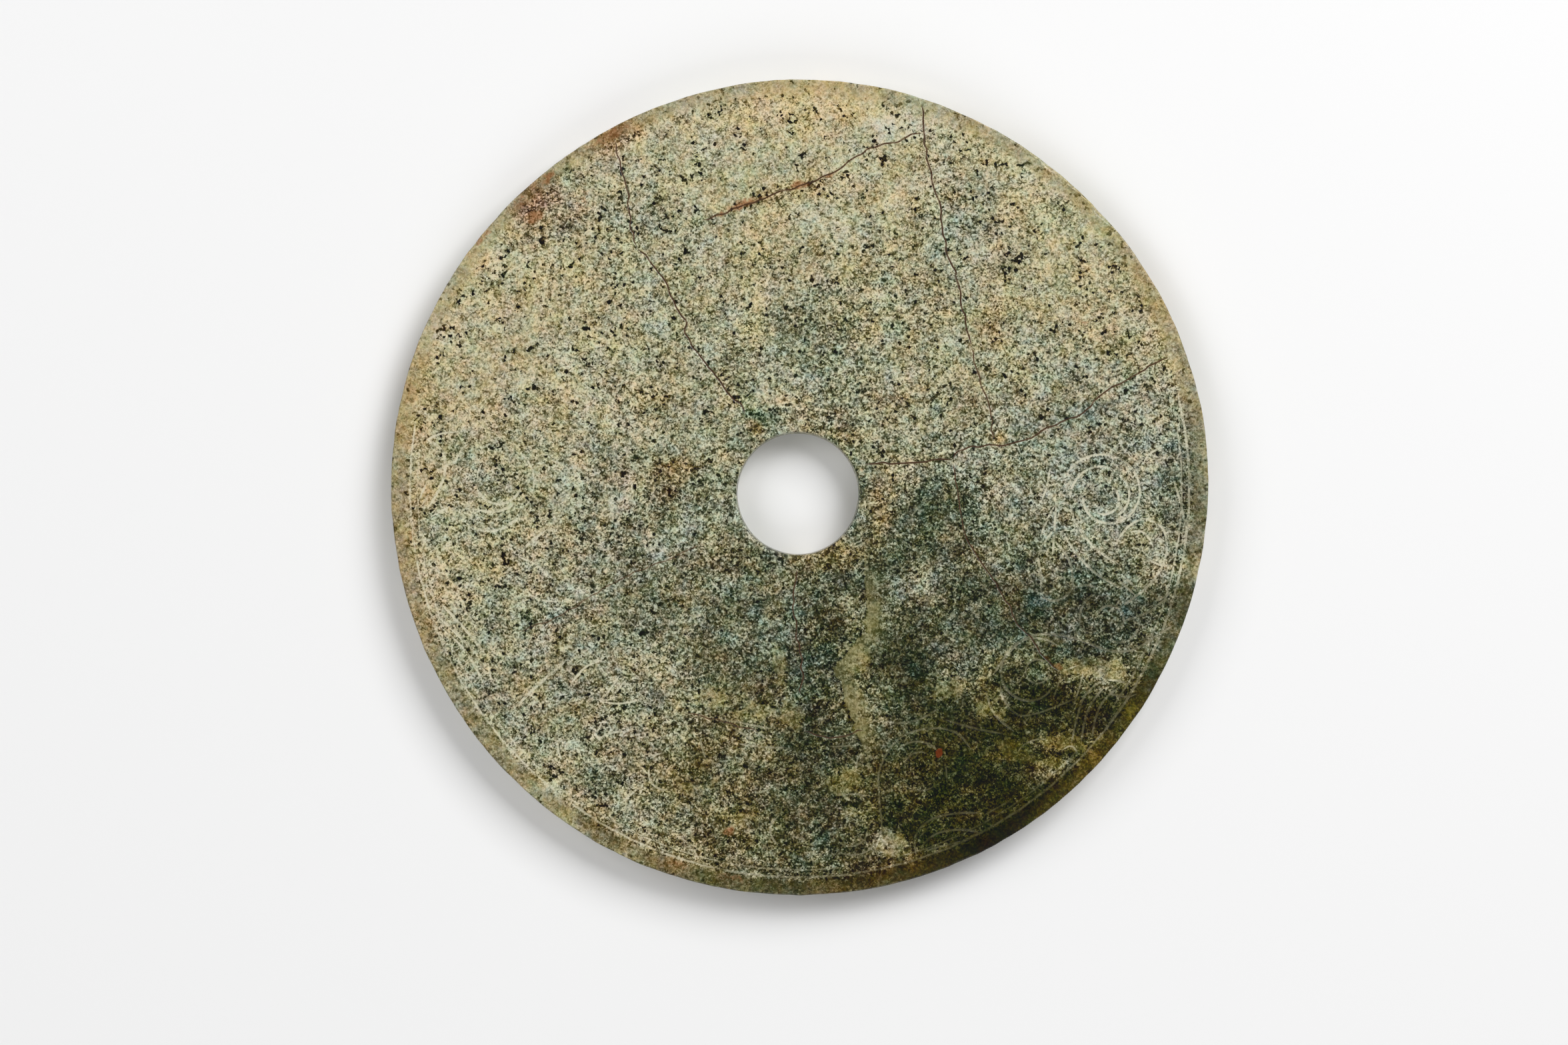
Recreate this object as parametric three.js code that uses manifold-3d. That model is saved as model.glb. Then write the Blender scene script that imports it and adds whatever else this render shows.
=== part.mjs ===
// A flat jade ritual disc (bi) with a round hole, its edge set off by an incised double border, and
// beasts with coiled eyes and long curling bodies lightly incised in the band inside that border.
// Millimetres. The origin is the centre of the underside, +Z is the disc's axis and runs out of the
// carved face, and +Y is the top of the carving.
import * as THREE from "three";
import { mergeVertices } from "three/addons/utils/BufferGeometryUtils.js";
import Module from "manifold-3d";

// Disc
const DISC_RADIUS = 120;
const THICKNESS = 11;
const EDGE_BEVEL = 0.7;
const RIM_SEGMENTS = 144;
// The hand-ground rim is out of round: each entry adds so many lobes of this height, one at this angle.
const RIM_LOBES = [
  { lobes: 2, rise: 0.28, towards: 35 },
  { lobes: 4, rise: 0.15, towards: 0 },
  { lobes: 5, rise: 0.16, towards: 18 },
];

// Hole, drilled from both faces, so that it narrows to a faint ridge halfway through
const HOLE_CENTRE = [-0.5, -1.7];
const HOLE_RADIUS = 17.8;
const DRILL_FLARE = 0.3;
const HOLE_SEGMENTS = 72;
const DRILL_OVERRUN = 1;

// Small chips on the upper edge of the rim: angle round the disc, and how far each one bites in
const CHIP_RADIUS = 3;
const CHIPS = [
  { angle: 52, bite: 0.9 },
  { angle: 48, bite: 0.6 },
  { angle: 42.5, bite: 1 },
  { angle: 121, bite: 0.8 },
  { angle: 143, bite: 0.7 },
];

// Incised lines: a V-shaped groove that is cut a little above the face too, so that it opens cleanly
const GROOVE_WIDTH = 0.6;
const GROOVE_DEPTH = 0.3;
const GROOVE_CLEARANCE = 0.2;
const STEP_LENGTH = 2.1;
const RING_STEP_DEG = 18;

// Border: two lines round the rim, worn away at the top of the disc
const BORDER_RADII = [114.8, 112.4];
const BORDER_FROM_DEG = -190;
const BORDER_TO_DEG = 12;
const BORDER_STEP_DEG = 4;

const JADE = { color: 0x848a62, roughness: 0.5, metalness: 0 };

const wasm = await Module();
wasm.setup();

// A closed geometry as a manifold solid, turned outside out if its faces point inwards.
function solid(geometry) {
  const bare = geometry.clone();
  bare.deleteAttribute("normal");
  bare.deleteAttribute("uv");
  const merged = mergeVertices(bare, 1e-4);
  const corners = merged.index.array;
  const kept = [];
  for (let i = 0; i < corners.length; i += 3) {
    const [a, b, c] = corners.slice(i, i + 3);
    if (a !== b && b !== c && c !== a) kept.push(a, b, c);
  }
  const make = (triVerts) =>
    new wasm.Manifold(
      new wasm.Mesh({
        numProp: 3,
        vertProperties: merged.attributes.position.array,
        triVerts: new Uint32Array(triVerts),
      }),
    );
  const made = make(kept);
  return made.volume() < 0 ? make(kept.reverse()) : made;
}

// A solid of revolution about +Z, from a profile of [radius, height] pairs.
function turned(profile, segments) {
  const points = profile.map(([radius, height]) => new THREE.Vector2(radius, height));
  return new THREE.LatheGeometry(points, segments).rotateX(Math.PI / 2);
}

function rimRise(angle) {
  return RIM_LOBES.reduce((sum, { lobes, rise, towards }) => {
    return sum + rise * Math.cos(lobes * (angle - THREE.MathUtils.degToRad(towards)));
  }, 0);
}

function discBlank() {
  const inner = DISC_RADIUS - EDGE_BEVEL;
  const profile = [
    [0, 0],
    [inner, 0],
    [DISC_RADIUS, EDGE_BEVEL],
    [DISC_RADIUS, THICKNESS - EDGE_BEVEL],
    [inner, THICKNESS],
    [0, THICKNESS],
  ];
  const geometry = turned(profile, RIM_SEGMENTS);
  const place = geometry.attributes.position;
  for (let i = 0; i < place.count; i++) {
    const stretch = 1 + rimRise(Math.atan2(place.getY(i), place.getX(i))) / DISC_RADIUS;
    place.setXY(i, place.getX(i) * stretch, place.getY(i) * stretch);
  }
  return solid(geometry);
}

function drilledHole() {
  const flared = HOLE_RADIUS + DRILL_FLARE;
  const profile = [
    [0, -DRILL_OVERRUN],
    [flared, -DRILL_OVERRUN],
    [flared, 0],
    [HOLE_RADIUS, THICKNESS / 2],
    [flared, THICKNESS],
    [flared, THICKNESS + DRILL_OVERRUN],
    [0, THICKNESS + DRILL_OVERRUN],
  ];
  return solid(turned(profile, HOLE_SEGMENTS).translate(...HOLE_CENTRE, 0));
}

function chip({ angle, bite }) {
  const theta = THREE.MathUtils.degToRad(angle);
  const reach = DISC_RADIUS + rimRise(theta) + CHIP_RADIUS - bite;
  const ball = new THREE.IcosahedronGeometry(CHIP_RADIUS, 1);
  return solid(ball.rotateZ(theta).translate(reach * Math.cos(theta), reach * Math.sin(theta), THICKNESS));
}

// A line on the face that coils about a centre, from one radius and angle to another (degrees,
// anticlockwise from +X). With one radius it is an arc.
class Coil extends THREE.Curve {
  constructor(centre, radii, angles) {
    super();
    Object.assign(this, { centre, radii, angles });
  }
  getPoint(t, target = new THREE.Vector3()) {
    const radius = THREE.MathUtils.lerp(...this.radii, t);
    const angle = THREE.MathUtils.degToRad(THREE.MathUtils.lerp(...this.angles, t));
    const [x, y] = this.centre;
    return target.set(x + radius * Math.cos(angle), y + radius * Math.sin(angle), 0);
  }
}

const coil = (centre, from, to, fromDeg, toDeg) => new Coil(centre, [from, to], [fromDeg, toDeg]);
const arc = (centre, radius, fromDeg, toDeg) => coil(centre, radius, radius, fromDeg, toDeg);
const stroke = (...points) => new THREE.CatmullRomCurve3(points.map(([x, y]) => new THREE.Vector3(x, y, 0)));

// A groove cut along a path on the carved face.
function groove(path, steps = Math.ceil(path.getLength() / STEP_LENGTH)) {
  const halfWidth = (GROOVE_WIDTH / 2) * (1 + GROOVE_CLEARANCE / GROOVE_DEPTH);
  const section = new THREE.Shape([
    new THREE.Vector2(GROOVE_DEPTH, 0),
    new THREE.Vector2(-GROOVE_CLEARANCE, halfWidth),
    new THREE.Vector2(-GROOVE_CLEARANCE, -halfWidth),
  ]);
  const cut = new THREE.ExtrudeGeometry(section, { steps, extrudePath: path });
  return solid(cut.translate(0, 0, THICKNESS));
}

// A groove that runs full circle.
function ringGroove([x, y], radius) {
  const halfWidth = (GROOVE_WIDTH / 2) * (1 + GROOVE_CLEARANCE / GROOVE_DEPTH);
  const profile = [
    [radius, THICKNESS - GROOVE_DEPTH],
    [radius + halfWidth, THICKNESS + GROOVE_CLEARANCE],
    [radius - halfWidth, THICKNESS + GROOVE_CLEARANCE],
    [radius, THICKNESS - GROOVE_DEPTH],
  ];
  return solid(turned(profile, 360 / RING_STEP_DEG).translate(x, y, 0));
}

function border() {
  const steps = Math.ceil((BORDER_TO_DEG - BORDER_FROM_DEG) / BORDER_STEP_DEG);
  return BORDER_RADII.map((radius) => groove(arc([0, 0], radius, BORDER_FROM_DEG, BORDER_TO_DEG), steps));
}

// The beast at the right: a coiled eye, a double neck line that runs down from it, a leaf-shaped ear,
// a curled snout and the long wave of its back.
function rightBeast() {
  const eye = [90, -2];
  return [
    coil(eye, 13, 6.6, 152, -180),
    arc(eye, 7, 56, -70),
    coil(eye, 7.7, 10.7, 70, 192),
    stroke([79.6, -5], [80.6, -9], [84, -14.5], [89, -19.3], [94, -22.5]),
    stroke([77.5, -13], [81.5, -19.5], [87, -25], [95.5, -30]),
    stroke([93.5, -15.5], [97.2, -11], [101.5, -9.2], [106.5, -11.5], [108, -18], [105, -26], [95, -34.8]),
    stroke([109, -30.5], [103.5, -36], [95.5, -39]),
    stroke([75, -15.5], [79.5, -22], [79.8, -30], [75.5, -33.2], [71, -32]),
    coil([90.6, -38.6], 8.4, 4, 110, 215),
    arc([91.3, -38.8], 4.1, 165, -25),
    stroke([57, -55], [61.5, -48.5], [67, -44], [74, -43], [83, -44.9], [91, -47.8], [98, -47.7], [105, -43.5]),
  ];
}

// The beast below it: its eye ringed by a coil, and the plumes that stand up from its head.
function lowerRightBeast() {
  const eye = [68.5, -54.8];
  return [
    coil(eye, 11.2, 6.8, 48, 335),
    stroke([55, -60], [57, -66], [63, -71.5]),
    stroke([59, -57.5], [60.2, -62.5], [64.5, -66.8], [69, -66.5], [75, -64.5], [81.5, -61.8]),
    stroke([80, -75], [81.5, -68], [84, -61], [89.5, -56.8], [97, -57.6]),
    stroke([82.8, -75], [85, -65], [89.5, -58.8]),
    stroke([86, -73.5], [88.5, -64], [94, -58.6]),
  ];
}

// The beast at the bottom: brows over a ringed eye, a long cheek line and a feathered crest.
function lowerBeast() {
  const eye = [35.5, -82.3];
  return [
    stroke([21, -108.5], [24, -101], [23.5, -92], [23.5, -83], [29, -74], [38, -70.8], [46, -72], [50.5, -77]),
    coil(eye, 8.4, 7, 140, 45),
    stroke([34.3, -108], [34.2, -102], [38.5, -97.7], [46, -95.8], [53, -95.7]),
    stroke([35.6, -105.8], [40, -101.9], [46, -100.6], [53, -101.3]),
    stroke([26, -69.2], [34, -68.5], [41, -64.8]),
    stroke([43, -68.2], [51, -70.6], [59.5, -72.3]),
    arc([15, -100.5], 5, 200, 375),
  ];
}

// The beast at the left: a ringed eye with lines under it, a curved horn, and the lines of its back.
function leftBeast() {
  const eye = [-88.5, 2];
  return [
    arc(eye, 6.7, 196, 345),
    arc(eye, 10.4, -20, 50),
    stroke([-95, -6.4], [-89.5, -7], [-84, -5]),
    stroke([-95.5, -12.2], [-88.5, -12.3], [-82.5, -8.6]),
    stroke([-110, 14.5], [-105, 10.5], [-104.5, 4], [-109, -5.5]),
    stroke([-83, -20], [-79, -15.8], [-74.5, -12.4]),
    stroke([-105.5, -34], [-99, -41], [-92, -49.5]),
    stroke([-106.5, -37.5], [-100, -43.8], [-96, -48]),
    stroke([-84, -65], [-78, -59], [-68.5, -50.5]),
    stroke([-60, -62], [-54, -63.5], [-46, -62]),
    stroke([-68, -59], [-63, -52.8], [-58, -50.7]),
    stroke([-60.5, -75], [-56, -72.3], [-51.5, -71.7]),
  ];
}

// The closed rings that stand in the beasts' eyes.
const PUPILS = [
  { centre: [89.5, -3.4], radius: 4.3 },
  { centre: [70, -54], radius: 3.5 },
  { centre: [35.5, -82.3], radius: 4.6 },
];

function carving() {
  const lines = [rightBeast, lowerRightBeast, lowerBeast, leftBeast].flatMap((beast) => beast());
  const rings = PUPILS.map(({ centre, radius }) => ringGroove(centre, radius));
  return [...border(), ...lines.map((line) => groove(line)), ...rings];
}

function biDisc() {
  const cuts = [drilledHole(), ...CHIPS.map(chip), ...carving()];
  const { vertProperties, triVerts } = cuts.reduce((body, cut) => body.subtract(cut), discBlank()).getMesh();
  const geometry = new THREE.BufferGeometry();
  geometry.setAttribute("position", new THREE.BufferAttribute(vertProperties, 3));
  geometry.setIndex(new THREE.BufferAttribute(triVerts, 1));
  geometry.computeVertexNormals();
  const mesh = new THREE.Mesh(geometry, new THREE.MeshStandardMaterial(JADE));
  mesh.name = "bi_disc";
  return mesh;
}

const disc = new THREE.Group();
disc.add(biDisc());

export default disc;
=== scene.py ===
"""A jade bi: a flat, round ritual disc of mottled nephrite with a hole through its middle.

The carved face carries beasts with coiled eyes and long curling bodies, lightly incised inside a double
border line. The stone is weathered: tan above and to the left, dark olive at the lower right, crossed by
brown cracks and stained with rust. Its broad colours also hold painted light and shade: lighter towards
the top and upper left, darker towards the lower right and the foot. Lengths are in millimetres until
a mesh is made, and colours are in CIE Lab (lightness, green to red, blue to yellow) until they reach
the shader.
"""

import logging
import math
import sys
from dataclasses import dataclass, field
from enum import Enum
from typing import Callable

import bpy
import numpy as np
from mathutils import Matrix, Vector
from mathutils.geometry import delaunay_2d_cdt
from mathutils.kdtree import KDTree


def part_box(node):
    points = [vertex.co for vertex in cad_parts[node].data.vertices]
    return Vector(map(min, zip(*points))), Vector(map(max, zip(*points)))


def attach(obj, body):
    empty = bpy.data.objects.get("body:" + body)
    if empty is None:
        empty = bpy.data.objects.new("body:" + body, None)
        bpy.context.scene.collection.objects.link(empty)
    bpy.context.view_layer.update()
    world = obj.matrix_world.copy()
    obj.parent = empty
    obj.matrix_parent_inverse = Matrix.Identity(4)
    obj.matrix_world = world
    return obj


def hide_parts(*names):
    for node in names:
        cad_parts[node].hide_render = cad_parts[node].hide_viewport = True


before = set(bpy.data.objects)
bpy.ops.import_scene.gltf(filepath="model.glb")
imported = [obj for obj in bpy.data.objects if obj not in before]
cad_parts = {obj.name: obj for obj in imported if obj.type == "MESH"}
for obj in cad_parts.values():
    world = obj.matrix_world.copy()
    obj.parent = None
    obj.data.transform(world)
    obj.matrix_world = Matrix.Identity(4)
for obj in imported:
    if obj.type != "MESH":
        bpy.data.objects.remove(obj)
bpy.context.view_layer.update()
log = logging.getLogger("bi_disc")

MM = 0.001
NOISE_CELLS = 64  # the seeded noise repeats after so many highs and lows
COIL_STEP_DEG = 6  # angle between the points of a coil
SPAN_POINTS = 12  # points between two knots of a stroke
TAPER_POINTS = 3.0  # points over which a groove dies away at each end
TAPER_CURVE = 0.6  # under 1, so that the groove is soon nearly full
NARROWEST = 0.15  # least share of its full width that a groove keeps
SHOULDER = 0.2  # strip of the face beside a groove that has points of its own
GRID_SHAKE = 0.18  # how far the points of the field are shaken, as a share of their spacing
GRID_CLEARANCE = 0.42  # how near they come to the points of a line, as a share of their spacing
EDGE_GAP = 0.4  # how near they come to the rim and the hole
SPOT_REACH = 1.2  # where a spot ends, as a share of its radii
SPOT_CORE = 0.2  # share of its radii over which a crust has its full strength
Point = tuple[float, float]
Lab = tuple[float, float, float]


def eased(share: np.ndarray) -> np.ndarray:
    """A share from 0 to 1 with a soft start and end."""
    return share * share * (3 - 2 * share)


def around(radius: np.ndarray | float, angle: np.ndarray, centre: Point = (0.0, 0.0)) -> np.ndarray:
    """Points at a distance from a centre, at angles in radians."""
    return np.c_[centre[0] + radius * np.cos(angle), centre[1] + radius * np.sin(angle)]


def ripple(x: np.ndarray, y: np.ndarray, wavelength: float, seed: int) -> np.ndarray:
    """Smooth seeded noise over the plane.

    Args:
        x: Places along X, in millimetres.
        y: Places along Y, in millimetres.
        wavelength: Distance between neighbouring highs and lows.
        seed: Which pattern of noise.

    Returns:
        Values from -1 to 1.
    """
    table = np.random.default_rng(seed).uniform(-1, 1, (NOISE_CELLS, NOISE_CELLS))
    u, v = (np.asarray(place) / wavelength + NOISE_CELLS / 2 for place in (x, y))
    i, j = np.floor(u).astype(int), np.floor(v).astype(int)
    low, high = (
        near + (far - near) * eased(u - i)
        for near, far in (
            (table[i % NOISE_CELLS, row % NOISE_CELLS], table[(i + 1) % NOISE_CELLS, row % NOISE_CELLS])
            for row in (j, j + 1)
        )
    )
    return low + (high - low) * eased(v - j)


# ------------------------------------------------------------
# Lines on the faces


class LineKind(Enum):
    """What made a line on the disc, with its half width, depth and spacing of points in millimetres."""

    INCISED = (0.4, 0.26, 0.65)
    CRACK = (0.3, 0.5, 0.8)
    SCRATCH = (0.14, 0.04, 2.2)

    def __init__(self, half_width: float, depth: float, step: float) -> None:
        """Names the three measures.

        Args:
            half_width: Half the width of the line at the surface.
            depth: Depth of the line at full weight.
            step: Spacing of the points that the line is laid out with.
        """
        self.half_width = half_width
        self.depth = depth
        self.step = step


@dataclass
class Line:
    """A groove along a path on a face.

    Attributes:
        path: Points along the line, in millimetres.
        kind: What made the line.
        weight: How strongly it shows, from 0 to 1.
        breadth: How wide it is beside others of its kind.
    """

    path: np.ndarray
    kind: LineKind = LineKind.INCISED
    weight: float = 1.0
    breadth: float = 1.0

    @property
    def half_width(self) -> float:
        """Half the width of this line, in millimetres."""
        return self.kind.half_width * self.breadth

    def laid_out(self) -> np.ndarray:
        """The path with evenly spaced points.

        Returns:
            An array of points in millimetres.
        """
        reach = np.r_[0, np.cumsum(np.hypot(*np.diff(self.path, axis=0).T))]
        count = max(3, int(round(reach[-1] / self.kind.step)) + 1)
        at = np.linspace(0, reach[-1], count)
        return np.c_[np.interp(at, reach, self.path[:, 0]), np.interp(at, reach, self.path[:, 1])]

    def taper(self, count: int) -> np.ndarray:
        """How full the groove is at each of its points, so that it dies away at both ends.

        Args:
            count: Number of points along the line.

        Returns:
            Values from 0 to 1.
        """
        at = np.arange(count)
        return np.clip(np.minimum(at, count - 1 - at) / TAPER_POINTS, 0, 1) ** TAPER_CURVE


def coil(centre: Point, from_radius: float, to_radius: float, from_deg: float, to_deg: float) -> np.ndarray:
    """A line that coils about a centre; with one radius it is an arc.

    Args:
        centre: The middle of the coil.
        from_radius: Radius at the start.
        to_radius: Radius at the end.
        from_deg: Angle at the start, anticlockwise from +X.
        to_deg: Angle at the end.

    Returns:
        Points along the line.
    """
    count = max(8, int(abs(to_deg - from_deg) / COIL_STEP_DEG) + 2)
    angle = np.radians(np.linspace(from_deg, to_deg, count))
    return around(np.linspace(from_radius, to_radius, count), angle, centre)


def stroke(*points: Point) -> np.ndarray:
    """A smooth line through a few points.

    Args:
        *points: Points that the line runs through.

    Returns:
        Points along the line.
    """
    knots = np.array(points, float)
    if len(knots) == 2:
        return knots
    gaps = np.sqrt(np.hypot(*np.diff(knots, axis=0).T))
    slopes = np.diff(knots, axis=0) / gaps[:, None]
    inner = (slopes[:-1] * gaps[1:, None] + slopes[1:] * gaps[:-1, None]) / (gaps[:-1] + gaps[1:])[:, None]
    tangents = np.vstack([1.5 * slopes[0] - 0.5 * inner[0], inner, 1.5 * slopes[-1] - 0.5 * inner[-1]])
    t = np.linspace(0, 1, SPAN_POINTS, endpoint=False)[:, None]
    spans = []
    for k, gap in enumerate(gaps):
        rise = (1 + 2 * t) * (1 - t) ** 2 * knots[k] + t * t * (3 - 2 * t) * knots[k + 1]
        spans.append(rise + gap * (t * (1 - t) ** 2 * tangents[k] - t * t * (1 - t) * tangents[k + 1]))
    return np.vstack([*spans, knots[-1:]])


@dataclass
class Border:
    """The double line that sets off the edge, deepest at the right and worn away round the top.

    Attributes:
        radii: Radii of the outer and the inner line.
        spans: The pieces that are left: their ends in degrees, and their weight.
    """

    radii: tuple[float, float] = (114.7, 112.5)
    spans: tuple[tuple[float, float, float], ...] = (
        (-190, -128, 0.4),
        (-126, -78, 0.5),
        (-79, -38, 0.45),
        (-39, 14, 0.9),
    )

    def lines(self) -> list[Line]:
        """The border's lines.

        Returns:
            Arcs in pairs, the inner ones shorter and fainter.
        """
        outer, inner = self.radii
        made = []
        for start, end, weight in self.spans:
            made.append(Line(coil((0, 0), outer, outer, start, end), weight=weight, breadth=1.1))
            inner_arc = coil((0, 0), inner, inner, start + 4, end - 5)
            made.append(Line(inner_arc, weight=0.6 * weight, breadth=0.9))
        return made


@dataclass
class Beast:
    """One of the beasts of the carving.

    Attributes:
        main: Paths of the lines that show well.
        faint: Paths of the lines that are nearly worn away.
        weights: How strongly the main and the faint lines show.
        breadths: How wide they are beside the usual line.
    """

    main: tuple[np.ndarray, ...]
    faint: tuple[np.ndarray, ...]
    weights: tuple[float, float]
    breadths: tuple[float, float]

    def lines(self) -> list[Line]:
        """The beast's lines.

        Returns:
            Its lines, the main ones first.
        """
        made = []
        for paths, weight, breadth in zip((self.main, self.faint), self.weights, self.breadths):
            made += [Line(path, weight=weight, breadth=breadth) for path in paths]
        return made


# At the right: a coiled eye, a neck of two lines, a leaf-shaped ear and a curled snout
RIGHT_EYE = (90.0, -2.0)
RIGHT_BEAST = Beast(
    main=(
        coil(RIGHT_EYE, 13, 6.6, 152, -180),
        coil(RIGHT_EYE, 7, 7, 56, -70),
        coil(RIGHT_EYE, 7.7, 10.7, 70, 192),
        coil((89.5, -3.4), 4.4, 4.4, -118, 62),
        stroke((76.5, -4.6), (79.6, -5), (80.6, -9), (84, -14.5), (89, -19.3), (94, -22.5)),
        stroke(
            (93.5, -15.5), (97.2, -11), (101.5, -9.2), (106.5, -11.5), (108, -18), (105, -26),
            (95, -34.8),
        ),
        stroke((109, -30.5), (103.5, -36), (95.5, -39)),
        stroke((75, -15.5), (79.5, -22), (79.8, -30), (75.5, -33.2), (71, -32)),
        coil((90.6, -38.6), 8.4, 8.2, 118, 190),
        coil((91.3, -38.8), 4.1, 4.1, 165, -25),
        stroke(
            (57, -55), (61.5, -48.5), (67, -44), (74, -43), (83, -44.9), (91, -47.8), (98, -47.7),
            (105, -43.5), (110, -40.4),
        ),
    ),
    faint=(
        coil(RIGHT_EYE, 6.6, 5.2, 178, 130),
        stroke((77.5, -13), (81.5, -19.5), (87, -25), (95.5, -30)),
        stroke((75.2, -5), (73, -9), (70.6, -15)),
        stroke((75.4, -5), (75, -12), (74.4, -20)),
        stroke((74.8, -12.2), (71.8, -16.5), (70, -20.5)),
        stroke((73.6, -25.4), (78.4, -26.8)),
        stroke((74, -23.8), (79, -24.6)),
        stroke((70, -20), (71, -26), (71, -32)),
        stroke((93.5, -26.8), (99, -31.8)),
        stroke((95, -25.6), (99.2, -29.6)),
        stroke((80.4, -29.6), (83.6, -28.6), (88, -29.4)),
        stroke((100.2, -38.5), (99.4, -42), (96, -45.2), (91.5, -45)),
        stroke((101, 7), (103, 10), (107, 12)),
        stroke((110, 2), (112, -4), (113.6, -12)),
        stroke((97, -13), (101, -13), (104, -17)),
        stroke((102, -20.5), (106, -22.6), (111, -22.8)),
        stroke((109, -17.5), (112.5, -16.4), (114, -13.5)),
        stroke((73.6, 6), (72.6, 0), (71, -4)),
    ),
    weights=(1.0, 0.9),
    breadths=(1.0, 0.95),
)

# Below it: an eye ringed by a coil, a jaw line, and plumes that stand up from its head
LOWER_RIGHT_EYE = (68.5, -54.8)
LOWER_RIGHT_BEAST = Beast(
    main=(
        coil(LOWER_RIGHT_EYE, 11.2, 6.8, 48, 335),
        stroke((80, -75), (81.5, -68), (84, -61), (89.5, -56.8), (97, -57.6)),
        stroke((82.8, -75), (85, -65), (89.5, -58.8)),
        stroke((86, -73.5), (88.5, -64), (94, -58.6)),
        stroke((55, -60), (57, -66), (63, -71.5)),
    ),
    faint=(
        coil((70.0, -54.0), 3.5, 3.5, 0, 360),
        stroke((59, -57.5), (60.2, -62.5), (64.5, -66.8), (69, -66.5), (75, -64.5), (81.5, -61.8)),
        stroke((77.6, -53.8), (82, -52.2)),
        stroke((83.4, -54), (82.2, -59), (80.2, -65)),
        stroke((74.6, -62), (76, -58), (76.4, -56)),
        stroke((64, -78), (66, -75.6), (70, -74), (73, -74.2)),
        stroke((76.5, -77.8), (80, -76), (82, -78.6)),
        stroke((91, -60.6), (96, -61.4), (99.5, -60.6)),
        stroke((65.6, -69.6), (68, -67)),
    ),
    weights=(0.8, 0.5),
    breadths=(0.9, 0.85),
)

# At the bottom: brows over a ringed eye, a long cheek line and a feathered crest
LOWER_EYE = (35.5, -82.3)
LOWER_BEAST = Beast(
    main=(
        stroke(
            (21, -108.5), (24, -101), (23.5, -92), (23.5, -83), (29, -74), (38, -70.8), (46, -72),
            (50.5, -77),
        ),
        coil(LOWER_EYE, 8.4, 7, 140, 45),
        stroke((34.3, -108), (34.2, -102), (38.5, -97.7), (46, -95.8), (53, -95.7)),
        stroke((35.6, -105.8), (40, -101.9), (46, -100.6), (53, -101.3)),
        stroke((35, -103), (38.4, -99.4)),
        stroke((26, -69.2), (34, -68.5), (41, -64.8)),
        stroke((43, -68.2), (51, -70.6), (59.5, -72.3)),
    ),
    faint=(
        coil(LOWER_EYE, 6.8, 6.8, 220, 310),
        coil(LOWER_EYE, 4.6, 4.6, 60, 190),
        coil((15, -100.5), 5, 5, 200, 375),
        coil((15.5, -99.5), 9.4, 9.4, 60, 110),
        coil((15.5, -99.5), 8.6, 8.6, 235, 320),
        stroke((12.6, -97), (16.4, -95.4)),
        stroke((10.2, -72.9), (17.4, -73.3)),
        stroke((8, -76), (13, -76), (18, -75.3)),
        stroke((8.4, -78), (9.8, -83)),
        stroke((16.6, -83.5), (17, -80), (18.4, -77.5)),
        stroke((43, -81), (43.4, -87)),
        stroke((62, -92), (54, -96.4)),
        stroke((36.6, -107), (42, -105.4), (50, -103.6)),
        stroke((3.8, -108), (4.2, -112)),
    ),
    weights=(0.65, 0.45),
    breadths=(0.9, 0.85),
)

# At the left, much worn: a ringed eye with lines under it, a horn, and strokes of its back
LEFT_EYE = (-88.5, 2.0)
LEFT_BEAST = Beast(
    main=(
        coil(LEFT_EYE, 6.7, 6.7, 196, 345),
        stroke((-95, -6.4), (-89.5, -7), (-84, -5)),
        stroke((-95.5, -12.2), (-88.5, -12.3), (-82.5, -8.6)),
        stroke((-110, 14.5), (-105, 10.5), (-104.5, 4), (-109, -5.5)),
        stroke((-83, -20), (-79, -15.8), (-74.5, -12.4)),
        stroke((-105.5, -34), (-99, -41), (-92, -49.5)),
        stroke((-106.5, -37.5), (-100, -43.8), (-96, -48)),
        stroke((-84, -65), (-78, -59), (-68.5, -50.5)),
    ),
    faint=(
        coil(LEFT_EYE, 10.4, 10.4, -20, 50),
        coil(LEFT_EYE, 7.2, 6.2, 130, 176),
        stroke((-97, 13.4), (-99.6, 11), (-101.6, 7)),
        stroke((-110, 14), (-106, 15.8), (-101, 16.4)),
        stroke((-112.4, -4.4), (-109.8, 1.4)),
        stroke((-111.4, -5.6), (-109, -1.4)),
        stroke((-108.6, -8.6), (-102.6, -5.2)),
        stroke((-105.6, -41), (-98, -48.4), (-93, -57.6)),
        stroke((-91.4, -52), (-90.8, -57)),
        stroke((-83, -20.2), (-77, -23), (-72.6, -27)),
        stroke((-80, -31), (-76, -33), (-72, -33.4)),
        stroke((-60, -62), (-54, -63.5), (-46, -62)),
        stroke((-68, -59), (-63, -52.8), (-58, -50.7)),
        stroke((-58, -62.4), (-52.8, -55)),
        stroke((-56.2, -62.6), (-51.2, -56.6)),
        stroke((-60.5, -75), (-56, -72.3), (-51.5, -71.7)),
        stroke((-71, -74), (-71, -77), (-70, -80)),
        coil((-39.5, -84), 4.9, 4.9, 160, 280),
        stroke((-44, -78.8), (-40, -78)),
        stroke((-53, -93), (-47, -88)),
        stroke((-29.6, -73), (-27.6, -80)),
        stroke((-20, -70.4), (-13, -74.6)),
        stroke((-14, -71), (-9, -74)),
        stroke((-23, -68), (-17, -69.2), (-8, -71)),
        stroke((-18, -75.3), (-10, -76.3), (-4, -76.5)),
        stroke((-6, -96.4), (-8.6, -99.4), (-8.2, -102.6), (-6, -105.6)),
    ),
    weights=(1.0, 0.8),
    breadths=(1.15, 0.95),
)


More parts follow.
